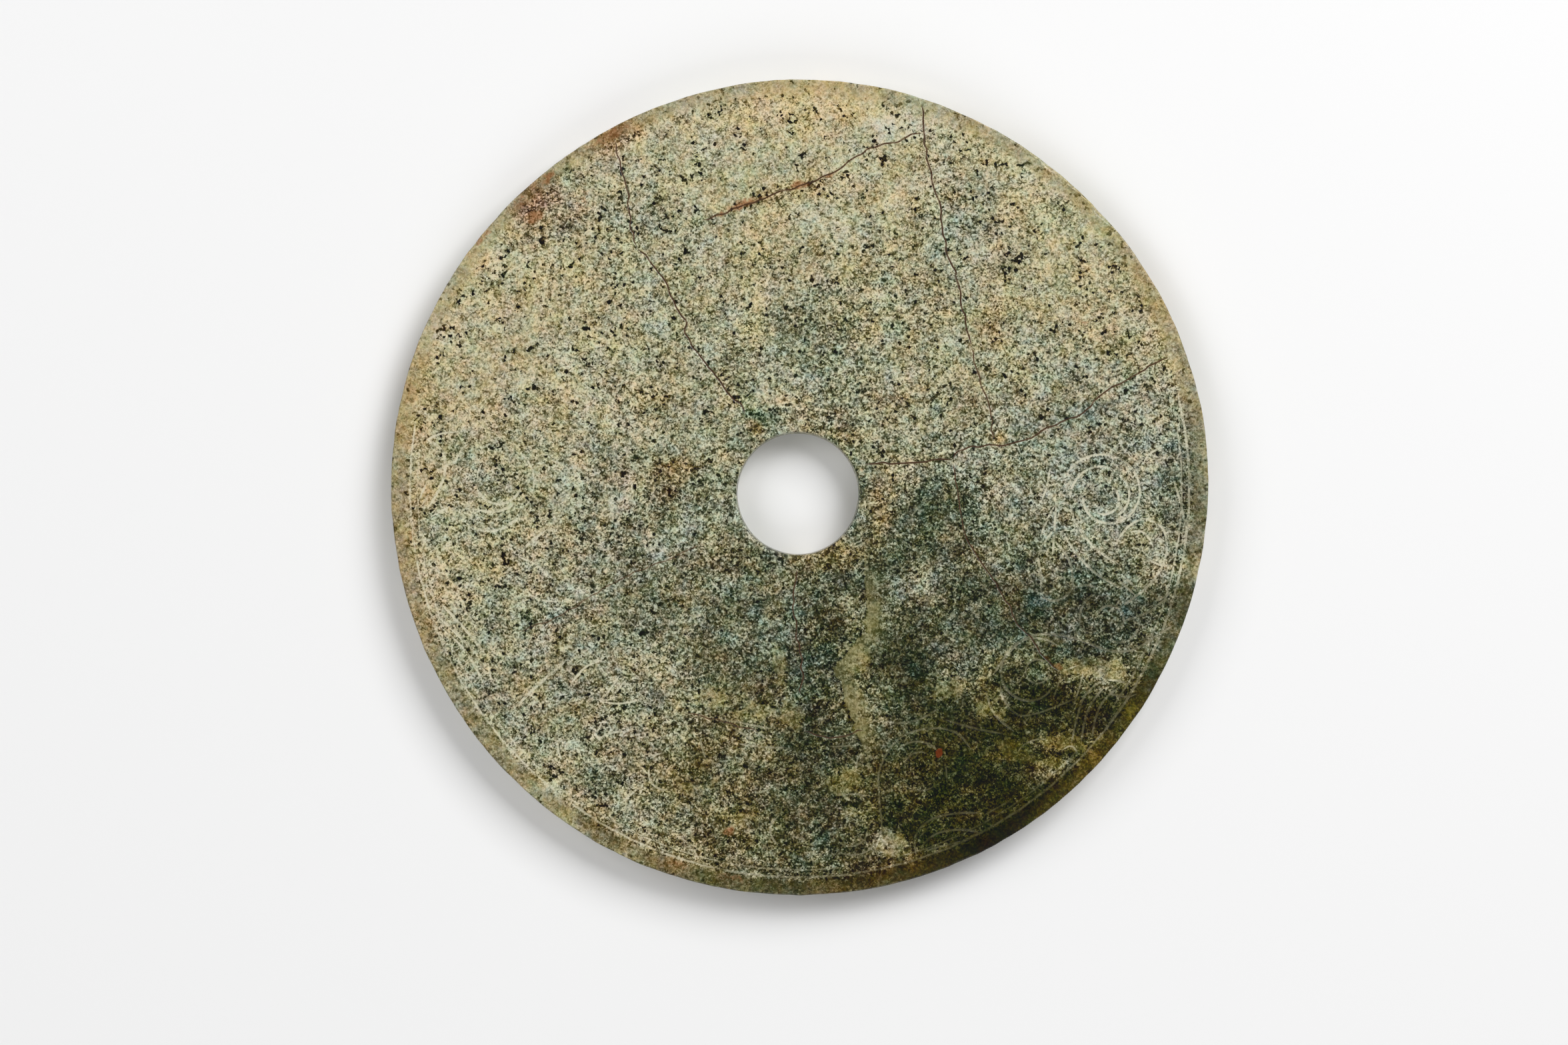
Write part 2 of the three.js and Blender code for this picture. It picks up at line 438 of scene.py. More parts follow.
@dataclass
class Cracks:
    """Hairline cracks, the older ones stained brown. A few run right through to the underside.

    Attributes:
        raggedness: How far a crack strays from its course, in millimetres.
        seed: Which pattern of raggedness.
        courses: Weight of each crack and the points that it runs through.
    """

    raggedness: float = 0.55
    seed: int = 11
    courses: tuple[tuple[float, tuple[Point, ...]], ...] = (
        (1.0, (
            (36, 113), (36.4, 105), (37.4, 98), (41, 83),
            (43.8, 68), (47, 60), (48.4, 49), (50.2, 42),
        )),
        (0.45, ((50.2, 42), (51.8, 35), (55.2, 27), (56.9, 14))),
        (0.75, ((36, 105), (30, 102.6), (17.5, 98), (9, 92), (-6.4, 87), (-23.5, 80.4), (-29, 78.6))),
        (0.6, ((-54.8, 102), (-51, 88), (-49.7, 78), (-47.6, 70.6))),
        (0.85, (
            (-47.6, 70.6), (-39.5, 60.4), (-37, 54.5), (-33.7, 48.4),
            (-34, 46), (-26, 35), (-15.8, 21.8),
        )),
        (1.0, ((18.8, 7), (31, 7.5), (44.8, 8.4))),
        (0.7, (
            (44.8, 8.4), (45.6, 10.2), (57, 12.7), (62.2, 12.7),
            (73.6, 18), (80, 20.6), (92, 29.6), (108.5, 38.8),
        )),
        (0.5, ((45.2, 7.5), (47.3, -6.5), (50, -16), (57, -26.7), (65, -40.6), (76.2, -53.7))),
        (0.62, ((-0.7, -23), (-1.7, -35), (-0.7, -44), (0.5, -53), (0.1, -61.6))),
        (0.5, ((1, -72), (10, -73.4), (19, -71.5))),
        (0.4, ((-34, -66.4), (-24, -68.4), (-12, -71.4))),
        (0.3, ((-29.3, -17), (-45.4, -23.5), (-58.2, -30.2), (-71, -37.5), (-83, -42.2))),
    )

    def lines(self) -> list[Line]:
        """The cracks on the carved face.

        Returns:
            One ragged line for each course.
        """
        made = []
        for k, (weight, course) in enumerate(self.courses):
            path = Line(stroke(*course), LineKind.CRACK).laid_out()
            x, y = path.T
            wander = np.c_[ripple(x, y, 2.2, self.seed + k), ripple(x, y, 2.2, self.seed + 50 + k)]
            wander += 0.6 * np.c_[ripple(x, y, 5.5, self.seed + 90), ripple(x, y, 5.5, self.seed + 91)]
            made.append(Line(path + self.raggedness * wander, LineKind.CRACK, weight))
        return made

    def through(self) -> list[Line]:
        """The strongest cracks, fainter, for the underside."""
        return [Line(line.path, line.kind, 0.6 * line.weight) for line in self.lines() if line.weight > 0.7]


@dataclass
class Scratches:
    """Fine surface scratches, thickest in the worn fields at the left and round the right beast.

    Attributes:
        count: How many.
        seed: Which scatter.
        fields: Middle and spread of each field of scratches.
    """

    count: int = 110
    seed: int = 5
    fields: tuple[tuple[Point, float], ...] = (
        ((-92, -8), 30),
        ((-70, -50), 34),
        ((88, -8), 34),
        ((30, 60), 50),
    )

    def lines(self) -> list[Line]:
        """The scratches.

        Returns:
            Short, slightly bowed lines.
        """
        rng = np.random.default_rng(self.seed)
        made = []
        while len(made) < self.count:
            (x, y), spread = self.fields[rng.integers(len(self.fields))]
            start = np.array([x, y]) + rng.normal(0, spread / 2, 2)
            length, turn, bow = rng.uniform(3, 13), rng.uniform(0, 2 * math.pi), rng.normal(0, 0.06)
            along = np.linspace(0, 1, 6)[:, None]
            way = np.array([math.cos(turn), math.sin(turn)])
            side = np.array([-math.sin(turn), math.cos(turn)])
            path = start + length * (along * way + 4 * bow * along * (1 - along) * side)
            reach = np.hypot(*path.T)
            if reach.max() < 110 and reach.min() > 24:
                made.append(Line(path, LineKind.SCRATCH, rng.uniform(0.35, 1)))
        return made


# ------------------------------------------------------------
# Colour zones of the stone, with painted light towards the top and painted shade towards the lower right


@dataclass(frozen=True)
class Spot:
    """A soft-edged ellipse on the disc.

    Attributes:
        centre: Its middle, in millimetres.
        radii: Half its length and half its breadth.
        turn: Degrees that its length is turned from +X.
        strength: From 0 to 1; under 0.5 a crust or a stain only shows in shreds.
    """

    centre: Point
    radii: Point
    turn: float
    strength: float

    def cover(self, x: np.ndarray, y: np.ndarray, core: float) -> np.ndarray:
        """How strong the spot is at each place.

        Args:
            x: Places along X.
            y: Places along Y.
            core: Share of its radius that has the full strength.

        Returns:
            Values from 0 outside to the spot's strength in the core.
        """
        angle = math.radians(self.turn)
        dx, dy = x - self.centre[0], y - self.centre[1]
        along = dx * math.cos(angle) + dy * math.sin(angle)
        across = dy * math.cos(angle) - dx * math.sin(angle)
        reach = np.hypot(along / self.radii[0], across / self.radii[1])
        return self.strength * eased(np.clip((SPOT_REACH - reach) / (SPOT_REACH - core), 0, 1))


def strongest(spots: tuple[Spot, ...], x: np.ndarray, y: np.ndarray, core: float) -> np.ndarray:
    """How strong the strongest of some spots is at each place."""
    return np.max([spot.cover(x, y, core) for spot in spots], axis=0)


@dataclass(frozen=True)
class Patch(Spot):
    """A patch of stone of another colour.

    Attributes:
        name: What the patch is.
        colour: Lab colour at its middle.
        core: Share of its radius that has the full strength.
    """

    name: str
    colour: Lab
    core: float = 0.25


STONE: Lab = (63.0, -3.6, 17.5)
# Besides the stone's own colours these patches hold painted light and shade: lighter towards the top and
# upper left, darker towards the lower right and the foot. The lower shadow and the foot shade are partly
# dark olive stone and partly painted shade.
STONE_AND_PAINTED_LIGHT_PATCHES = (
    Patch((6, -6), (90, 68), 0, 0.85, "grey-green heart", (55, -4.4, 14.5)),
    Patch((84, 4), (48, 38), -8, 0.85, "grey-blue right", (53.5, -4.8, 10.5)),
    Patch((-46, -22), (34, 22), -20, 0.7, "shade under the left field", (48, -4.2, 13)),
    Patch((48, -62), (106, 58), -24, 0.97, "lower shadow", (32.5, -5.4, 13.8), 0.5),
    Patch((0, -98), (62, 40), 0, 0.92, "foot shade", (31, -4.4, 16), 0.3),
    Patch((-82, -52), (44, 44), -38, 0.8, "pale lower left", (54, -3.8, 14.2)),
    Patch((-50, -66), (18, 18), 0, 0.6, "grey lower left field", (48, -4.4, 14)),
    Patch((-5, 99), (80, 30), 0, 0.7, "pale upper field", (71, -2.8, 17.5)),
    Patch((-92, 46), (40, 38), 0, 0.75, "tan left", (71.5, -2, 19.3)),
    Patch((64, -86), (56, 34), 34, 0.97, "deep olive", (17, -5.8, 22), 0.4),
    Patch((-24, -88), (22, 38), -6, 0.8, "olive-brown foot", (38.5, -3.4, 19.5)),
    Patch((-8, -40), (50, 16), -4, 0.8, "shade under the hole", (41, -5.6, 12.5)),
    Patch((41, -8.5), (14, 16), 0, 0.9, "dark right of the hole", (31, -6.6, 12.5)),
    Patch((3, 43), (17, 14), 15, 0.85, "dark over the hole", (49, -5.6, 13.5)),
    Patch((12, 30), (16, 10), 0, 0.6, "green-grey over the hole", (52, -5.6, 12)),
    Patch((-9, 28), (11, 4.4), 112, 0.85, "pale streak over the hole", (70, -3.4, 15)),
    Patch((-38, 2), (9, 8), 0, 0.85, "shade left of the hole", (42, -3, 17)),
    Patch((2, 112), (28, 10), 0, 0.85, "ochre top", (71, -0.4, 23.5)),
    Patch((28, 108), (13, 7.5), 0, 0.8, "pale top", (81, -2.6, 13.5)),
    Patch((78, 80), (32, 20), -45, 0.75, "tan upper right", (67, -3.6, 20.5)),
    Patch((104, 56), (14, 18), 20, 0.8, "ochre right rim", (63.5, -0.6, 22)),
    Patch((70, 52), (26, 12), 10, 0.6, "tan right field", (63, -2.6, 19.5)),
    Patch((47, 78), (18, 18), 0, 0.7, "grey upper right", (57, -4.2, 13.5)),
    Patch((42, 97), (8, 8), 0, 0.6, "grey-pink upper right", (60, -0.4, 15)),
    Patch((-48, 84), (16, 13), -40, 0.75, "grey upper left", (58, -4.4, 13.5)),
    Patch((-66, 90), (10, 6), 35, 0.7, "grey upper left rim", (62, -3.4, 12.5)),
    Patch((-38, 60), (16, 22), 20, 0.6, "grey middle left", (61, -4.4, 15)),
    Patch((-74, 77), (14, 9), 30, 0.85, "dark upper left", (48, -1.6, 15.5)),
    Patch((-80, 83), (11, 6), 50, 0.85, "red-brown upper left", (44, 8, 19)),
    Patch((-54, 104), (12, 5), 36, 0.8, "brown upper left rim", (53, 5, 22)),
    Patch((-6, 87), (18, 4.5), 17, 0.75, "brown vein ground", (57, 0.6, 22.5)),
    Patch((-115, 28), (9, 50), 3, 0.75, "ochre left rim", (62.5, -0.2, 22.5)),
    Patch((-113, 0), (5, 12), 0, 0.5, "pale left rim", (69, -1.8, 17)),
    Patch((-99, 0), (8, 11), 0, 0.6, "tan by the left eye", (67, -0.6, 19.5)),
    Patch((-113, -30), (10, 30), 18, 0.75, "ochre lower left rim", (60, -0.6, 19)),
    Patch((-92, 16), (12, 8), 20, 0.7, "ochre blot", (64, -1, 20.5)),
    Patch((-90, -26), (12, 7), 20, 0.7, "lower ochre blot", (60, -1.4, 18.5)),
    Patch((-91, 3), (11, 9), -40, 0.65, "shade round the left eye", (53, -3.2, 15)),
    Patch((-67, 10), (6, 26), -10, 0.75, "pale streak", (67, -3.2, 14.5)),
    Patch((-66, -34), (16, 9), 0, 0.6, "grey lower left", (49, -4.4, 11.5)),
    Patch((-68, -16), (9, 5), 10, 0.7, "pink-brown blot", (53, -1.4, 16)),
    Patch((-50, 4), (7, 6), 0, 0.75, "upper pink-brown blot", (56, 0.4, 16.5)),
    Patch((-35, 6), (9, 3.5), 28, 0.8, "orange streak", (49, 0.8, 21)),
    Patch((-53, -5), (5, 5), 0, 0.9, "pale lump", (68, -1.8, 12.5), 0.6),
    Patch((-10.6, 21), (6, 4.5), -30, 0.95, "green blot", (42, -8.5, 11), 0.5),
    Patch((-12.6, 16), (4, 3.5), 0, 0.9, "ochre by the hole", (47, 0.6, 24), 0.5),
    Patch((23, -5), (6, 11), 0, 0.85, "brown by the hole", (52.5, 0.6, 22.5)),
    Patch((8, 19), (12, 4), -10, 0.7, "brown over the hole", (51, -1.4, 18)),
    Patch((-37, -14), (16, 7.5), 0, 0.85, "pale left of the hole", (61, -4.5, 12.5)),
    Patch((-4, -29), (18, 6), 0, 0.75, "grey under the hole", (50, -5.2, 11.5)),
    Patch((34, -27), (13, 7), 0, 0.85, "grey right under the hole", (54, -5.5, 11)),
    Patch((8, -19), (15, 5.5), 12, 0.9, "brown under the hole", (43, -0.4, 22.5)),
    Patch((88, -38), (38, 14), 2, 0.92, "dark right band", (28.5, -6, 9.5), 0.4),
    Patch((113, -4), (8, 26), 0, 0.85, "grey right rim", (41, -5, 11.5)),
    Patch((7, -52), (9, 30), 0, 0.92, "shade below the hole", (27, -5.8, 12.5), 0.4),
    Patch((21, -52), (9, 22), 5, 0.75, "crust", (41, -5, 18)),
    Patch((17, -68), (9, 9), 0, 0.85, "crust foot", (42, -3.8, 17.5)),
    Patch((31, -56), (10, 16), 10, 0.88, "dark patch by the crust", (20, -6.4, 12.5)),
    Patch((38, -42), (14, 7), 0, 0.75, "dark patch over it", (24, -5.8, 14)),
    Patch((48, -55), (9, 8), 0, 0.8, "lighter patch", (43, -4.4, 14.5)),
    Patch((64, -70), (26, 11), 10, 0.7, "dark olive patch", (21, -5.8, 19)),
    Patch((84, -55), (17, 6), 0, 0.85, "pale stain", (38, -3.4, 16.5)),
    Patch((28, -112), (22, 6), 12, 0.8, "brown foot rim", (28, 0.4, 20)),
    Patch((27, -105), (8, 7), 0, 0.9, "bright speckled foot", (42, -2.2, 13.5)),
    Patch((5, -90), (12, 24), 0, 0.75, "dark foot", (27, -5, 13.5)),
    Patch((14, -82), (6, 12), 0, 0.6, "dark foot, upper part", (30, -5, 14)),
    Patch((-36, -108), (14, 8), -20, 0.85, "ochre foot rim", (48, 0.4, 22)),
    Patch((-46, -94), (7, 16), 10, 0.7, "tan strip", (55, -3, 15)),
    Patch((-58, -97), (12, 7), -35, 0.85, "shade lower left rim", (42, -3, 17)),
    Patch((-52, -82), (14, 7), 30, 0.6, "shade lower left", (45, -4.4, 13)),
    Patch((88, -80), (34, 5.5), 47, 0.88, "gold lower right rim", (34, -3.8, 25.5), 0.5),
    Patch((77, -75), (13, 4.5), -10, 0.8, "olive-gold field", (32, -3.4, 22)),
    Patch((57, -65), (7, 5), 0, 0.75, "olive-gold field, left part", (38, -4.6, 20)),
    Patch((74, -81), (7, 3), -25, 0.75, "pale brown field", (40, -1.4, 18)),
    Patch((88, -70), (8, 5), 40, 0.7, "dark brown field", (18, -2.6, 17)),
    Patch((60, -81), (12, 6), -15, 0.6, "olive mass", (26, -5.4, 20)),
    Patch((85, -80.5), (4.5, 2.6), 45, 0.85, "gold knob", (41, -0.8, 27), 0.3),
    Patch((88.5, -53.5), (8, 3.4), 0, 0.85, "cream crust", (49, -3.4, 19)),
    Patch((13, -86), (8, 4), 0, 0.6, "gold-green crust", (34, -4.8, 20)),
    Patch((-84, -14), (8, 6), 0, 0.6, "shade between the blots", (50, -3, 16)),
    Patch((-70, 42), (11, 8), 0, 0.6, "shade under the tan", (60, -3, 17)),
    Patch((42, 28), (9, 8), 0, 0.65, "shade beside the crack", (51, -4.6, 13.5)),
    Patch((56.5, 13.8), (2.6, 2.4), 0, 0.75, "ochre speck", (57, 2, 26)),
)

# Yellowish weathering crust with ragged edges
CRUSTS = (
    Spot((21.5, -38), (8, 4), 80, 0.9),
    Spot((17.5, -50), (8, 5.5), 60, 1.0),
    Spot((16, -62), (9, 4.5), 110, 0.9),
    Spot((18, -70), (6, 4), 60, 0.8),
    Spot((28, -48), (7, 4), 0, 0.5),
    Spot((-2, -67), (6, 8), 0, 0.85),
    Spot((-6, -52), (4, 14), 0, 0.7),
    Spot((-14, -66), (12, 5), 10, 0.65),
    Spot((-26, -62), (8, 9), 0, 0.6),
    Spot((14, -86), (9, 6), 20, 0.9),
    Spot((14, -97), (7, 8), 0, 0.5),
    Spot((27, -105), (7, 6), 0, 0.8),
    Spot((22, -90), (5, 8), 0, 0.5),
    Spot((42, -58), (15, 7), -20, 0.65),
    Spot((56, -65), (9, 5), -10, 0.8),
    Spot((63, -78), (13, 6), -20, 0.75),
    Spot((84, -52.5), (14, 4.5), 0, 0.9),
    Spot((92, -54), (8, 4), 10, 1.0),
    Spot((74, -45), (8, 3), -20, 0.6),
    Spot((78, -75), (11, 4), -10, 0.85),
    Spot((75, -81), (6, 3), -20, 0.9),
    Spot((97, -66), (6, 4), 50, 0.6),
    Spot((72, -88), (8, 4), 40, 0.45),
    Spot((-30, -86), (10, 14), 0, 0.6),
    Spot((-16, -96), (8, 10), 0, 0.6),
    Spot((60, -48), (8, 5), 40, 0.5),
)

# Small rust-coloured stains, and a red-brown inclusion
RUST = (
    Spot((-77.5, 79.5), (3.6, 2.4), 30, 1.0),
    Spot((-82, 84), (5, 4), 50, 0.62),
    Spot((-74.5, 90.5), (4.6, 2.2), 50, 1.0),
    Spot((-64, 85), (6, 2.6), 60, 0.5),
    Spot((-55, 104), (10, 2.8), 32, 0.9),
    Spot((-93, 74), (5, 2), 50, 0.85),
    Spot((-16, 83.4), (8, 2), 20, 0.95),
    Spot((-23.5, 80.2), (4, 1.4), 20, 0.7),
    Spot((0, 89.6), (5, 2), 14, 0.95),
    Spot((9, 92), (3.5, 1.2), 30, 0.7),
    Spot((44, 98), (5, 3), 90, 0.4),
    Spot((56.5, 14), (1.8, 1.8), 0, 0.5),
    Spot((66, 16), (4, 1.2), 20, 0.45),
    Spot((84, 48.5), (2.2, 1.6), 0, 0.6),
    Spot((76.4, -52.8), (2.4, 1.8), 0, 1.0),
    Spot((73, -50), (4, 1.6), -48, 0.55),
    Spot((51, -17), (2.4, 1), -60, 0.5),
    Spot((-20.7, -100.6), (2.8, 2), 0, 1.0),
    Spot((-20, -115), (7, 1.6), -10, 0.6),
    Spot((-36, -110.5), (6, 2), -18, 0.6),
    Spot((-40, 5.5), (6, 1.8), 28, 0.5),
    Spot((13, 14.5), (3, 1), -45, 0.5),
    Spot((18.5, 4), (2, 5), 0, 0.4),
    Spot((-111, 17), (4, 2.4), 60, 0.5),
    Spot((-114, -14), (3, 7), 5, 0.5),
)
INCLUSION = Spot((41.1, -78.0), (2.0, 1.5), 70, 1.0)


@dataclass
class Ground:
    """The broad colours of the stone, before its grain, with painted light towards the top and upper left
    and painted shade towards the lower right and the foot.

    Attributes:
        stray: How far the edges of the patches wander, in millimetres.
        rust_stray: How far the edges of the rust wander.
        crust_reach: Greatest distance that is told from the edge of the crust under the hole.
        crust_edge: That crust's ragged left edge, from its top to its foot.
    """

    stray: float = 3.2
    rust_stray: float = 0.8
    crust_reach: float = 12.0
    crust_edge: tuple[Point, ...] = (
        (19.3, -28), (20.3, -42.7), (16.4, -44.7), (13.4, -49.6), (9.7, -53.1), (12.2, -57.5), (13, -61.4),
        (17.7, -74),
    )

    def colours(self, x: np.ndarray, y: np.ndarray) -> np.ndarray:
        """The broad colour at each place, with every patch's outline shaken.

        Args:
            x: Places along X.
            y: Places along Y.

        Returns:
            Lab colours, one row for each place.
        """
        shaken = [
            place + self.stray * (ripple(x, y, 14, seed) + 0.6 * ripple(x, y, 5, seed + 20))
            for place, seed in ((x, 1), (y, 2))
        ]
        lab = np.tile(np.array(STONE), (len(x), 1))
        for patch in STONE_AND_PAINTED_LIGHT_PATCHES:
            lab += patch.cover(*shaken, patch.core)[:, None] * (np.array(patch.colour) - lab)
        return lab

    def rust(self, x: np.ndarray, y: np.ndarray) -> np.ndarray:
        """How rusty each place is, from 0 to 1."""
        shaken = [place + self.rust_stray * ripple(x, y, 3, seed) for place, seed in ((x, 31), (y, 32))]
        return strongest(RUST, *shaken, 0)

    def crust(self, x: np.ndarray, y: np.ndarray) -> np.ndarray:
        """Distance from the crust's ragged edge.

        Args:
            x: Places along X.
            y: Places along Y.

        Returns:
            Millimetres, positive on the crust's side.
        """
        place = np.c_[x, y]
        nearest = np.full(len(x), self.crust_reach)
        side = np.full(len(x), -1.0)
        for start, end in zip(np.array(self.crust_edge[:-1]), np.array(self.crust_edge[1:])):
            span = end - start
            t = np.clip(((place - start) @ span) / (span @ span), 0, 1)
            gap = place - start - t[:, None] * span
            reach = np.hypot(*gap.T)
            closer = reach < nearest
            nearest = np.where(closer, reach, nearest)
            side = np.where(closer, np.sign(gap[:, 1] * span[0] - gap[:, 0] * span[1]), side)
        return nearest * side


# ------------------------------------------------------------
# Shader building


Term = "Wire | float | int"


def operator(operation: str, turned: bool = False) -> Callable[["Wire", Term], "Wire"]:
    """Makes a Python operator that adds a Math node.

    Args:
        operation: Which operation the node does.
        turned: True if the terms change places, as Python asks when the wire stands on the right.

    Returns:
        The method for the operator.
    """

    def method(self: "Wire", other: Term) -> "Wire":
        """Adds the node for a wire and another term."""
        return self.tree.math(operation, *((other, self) if turned else (self, other)))

    return method


class Wire:
    """A shader socket that adds Math nodes when it takes part in Python arithmetic."""

    __add__ = __radd__ = operator("ADD")
    __sub__, __rsub__ = operator("SUBTRACT"), operator("SUBTRACT", turned=True)
    __mul__ = __rmul__ = operator("MULTIPLY")
    __truediv__, __rtruediv__ = operator("DIVIDE"), operator("DIVIDE", turned=True)
    __pow__ = operator("POWER")

    def __init__(self, tree: "NodeTree", socket: bpy.types.NodeSocket) -> None:
        """Wraps an output socket of a node tree."""
        self.tree = tree
        self.socket = socket

    def __neg__(self) -> "Wire":
        """Negative."""
        return self.tree.math("MULTIPLY", self, -1.0)

    def clipped(self, low: float = 0.0, high: float = 1.0) -> "Wire":
        """The value kept between two limits."""
        return self.tree.math("MINIMUM", self.tree.math("MAXIMUM", self, low), high)

    def ramp(self, start: float, slope: float, low: float = 0.0, high: float = 1.0) -> "Wire":
        """A straight rise from where the value passes a level, kept between two limits."""
        return ((self - start) * slope).clipped(low, high)

    def towards(self, other: Term, share: Term) -> "Wire":
        """The value moved by a share of the way to another value."""
        return self + (other - self) * share


@dataclass(frozen=True)
class Noise:
    """Smooth noise: the millimetres between its highs and lows, its finer octaves and their strength."""

    length: float
    detail: float
    roughness: float


SHIVER = Noise(1.1, 2.0, 0.6)  # moves the edges of the grains about
CLOUDS = Noise(9.0, 4.0, 0.8)
CLUMPS = Noise(4.4, 3.0, 0.7)
BUSYNESS = Noise(17.0, 2.0, 0.5)  # some fields have a stronger grain than others
HUES = Noise(7.0, 4.0, 0.8)
TEARS = Noise(4.5, 5.0, 0.7)  # tears the crust to shreds
CRUST_EDGE = Noise(2.4, 3.0, 0.65)
RUST_FLECKS = Noise(1.6, 3.0, 0.7)
BREAKS = Noise(1.6, 3.0, 0.7)  # gaps in the dust of the lines and the dirt of the cracks
FADES = Noise(9.0, 2.0, 0.6)  # whole lengths of line that show less
POLISH = Noise(5.0, 3.0, 0.6)
FINE_RELIEF = Noise(0.8, 3.0, 0.6)
CRYSTALS = ((1.3, 1.2), (0.75, 2.6), (0.42, 4.4))  # size in millimetres and strength in the grain
FLECK_SIZE = 0.95


class NodeTree:
    """Builds the nodes of one material."""

    def __init__(self, material: bpy.types.Material) -> None:
        """Empties the tree of the material that is to be built."""
        material.use_nodes = True
        self.nodes = material.node_tree.nodes
        self.links = material.node_tree.links
        self.nodes.clear()

    def node(self, kind: str, settings: dict[str, object] | None = None, **inputs: object) -> bpy.types.Node:
        """Adds a node.

        Args:
            kind: The node's type, without the words that all of them start with.
            settings: Its properties, set before its sockets.
            **inputs: Values or wires of its sockets, by name, with _ for a space.

        Returns:
            The new node.
        """
        made = self.nodes.new("ShaderNode" + kind)
        for name, value in (settings or {}).items():
            setattr(made, name, value)
        for name, value in inputs.items():
            self.feed(made.inputs[name.replace("_", " ")], value)
        return made

    def feed(self, socket: bpy.types.NodeSocket, value: object) -> None:
        """Links a wire to a socket, or sets the socket's value."""
        if isinstance(value, Wire):
            self.links.new(value.socket, socket)
        else:
            socket.default_value = value

    def out(self, made: bpy.types.Node, name: str) -> Wire:
        """A wire from one of a node's outputs."""
        return Wire(self, made.outputs[name])

    def math(self, operation: str, *terms: Term) -> Wire:
        """Adds a Math node and gives its value."""
        made = self.node("Math", {"operation": operation})
        for socket, term in zip(made.inputs, terms):
            self.feed(socket, term)
        return self.out(made, "Value")

    def vector(self, operation: str, *terms: object, **inputs: object) -> Wire:
        """Adds a Vector Math node and gives its vector."""
        made = self.node("VectorMath", {"operation": operation}, **inputs)
        for socket, term in zip(made.inputs, terms):
            self.feed(socket, term)
        return self.out(made, "Vector")

    def noise(self, place: Wire, kind: Noise, output: str = "Fac") -> Wire:
        """Noise from 0 to 1, as one number unless the colour output is named."""
        scale = 1 / kind.length
        made = self.node("TexNoise", Vector=place, Scale=scale, Detail=kind.detail, Roughness=kind.roughness)
        return self.out(made, output)

    def grains(self, place: Wire, size: float) -> Wire:
        """A random value from 0 to 1 for each crystal grain of about a size in millimetres."""
        made = self.node("TexVoronoi", {"feature": "F1"}, Vector=place, Scale=1 / size)
        return self.out(self.node("SeparateColor", Color=self.out(made, "Color")), "Red")

    def attribute(self, name: str, output: str = "Fac") -> Wire:
        """Reads a mesh attribute, as one number unless another output is named."""
        return self.out(self.node("Attribute", {"attribute_name": name}), output)

    def lab_colour(self, lightness: Wire, redness: Wire, yellowness: Wire) -> Wire:
        """Turns a Lab colour into a linear RGB colour.

        Args:
            lightness: L, from 0 to 100.
            redness: a.
            yellowness: b.

        Returns:
            The colour.
        """
        fy = (lightness + 16.0) / 116.0
        x = ((fy + redness / 500.0) ** 3.0) * 0.9505
        y = fy**3.0
        z = ((fy - yellowness / 200.0) ** 3.0) * 1.0891
        rows = ((3.2406, -1.5372, -0.4986), (-0.9689, 1.8758, 0.0415), (0.0557, -0.2040, 1.0570))
        red, green, blue = (x * r[0] + y * r[1] + z * r[2] for r in rows)
        return self.out(self.node("CombineColor", Red=red, Green=green, Blue=blue), "Color")

    def surface(self, **inputs: object) -> None:
        """Finishes the material with a shader and its output."""
        shader = self.node("BsdfPrincipled", **inputs)
        self.node("OutputMaterial", Surface=self.out(shader, "BSDF"))


@dataclass(frozen=True)
class Stain:
    """Something that covers the stone.

    Attributes:
        colour: Its lightness, redness and yellowness.
        shares: How far each of them takes the stone's place where the stain is thickest.
    """

    colour: tuple[Term, float, float]
    shares: tuple[float, float, float]

    def over(self, lab: tuple[Wire, ...], *levels: Wire) -> tuple[Wire, ...]:
        """Stains a colour.

        Args:
            lab: Lightness, redness and yellowness so far.
            *levels: How thick the stain is, from 0 to 1: once, or for each of the three.

        Returns:
            The same three, changed.
        """
        rows = zip(lab, self.colour, self.shares, levels * 3 if len(levels) == 1 else levels)
        return tuple(value.towards(target, level * share) for value, target, share, level in rows)


OLIVE_CRUST = Stain((54.0, -4.6, 24.0), (0.6, 0.6, 0.65))
RUST_STAIN = Stain((42.0, 12.5, 28.0), (0.55, 0.9, 0.85))
RED_INCLUSION = Stain((30.0, 24.0, 27.0), (0.9, 0.95, 0.95))
DIRT = Stain((22.0, 9.5, 18.0), (0.92, 0.85, 0.7))
DUST_TINT = (-2.4, 13.5)
DUST_SHARES = (0.93, 0.6, 0.6)


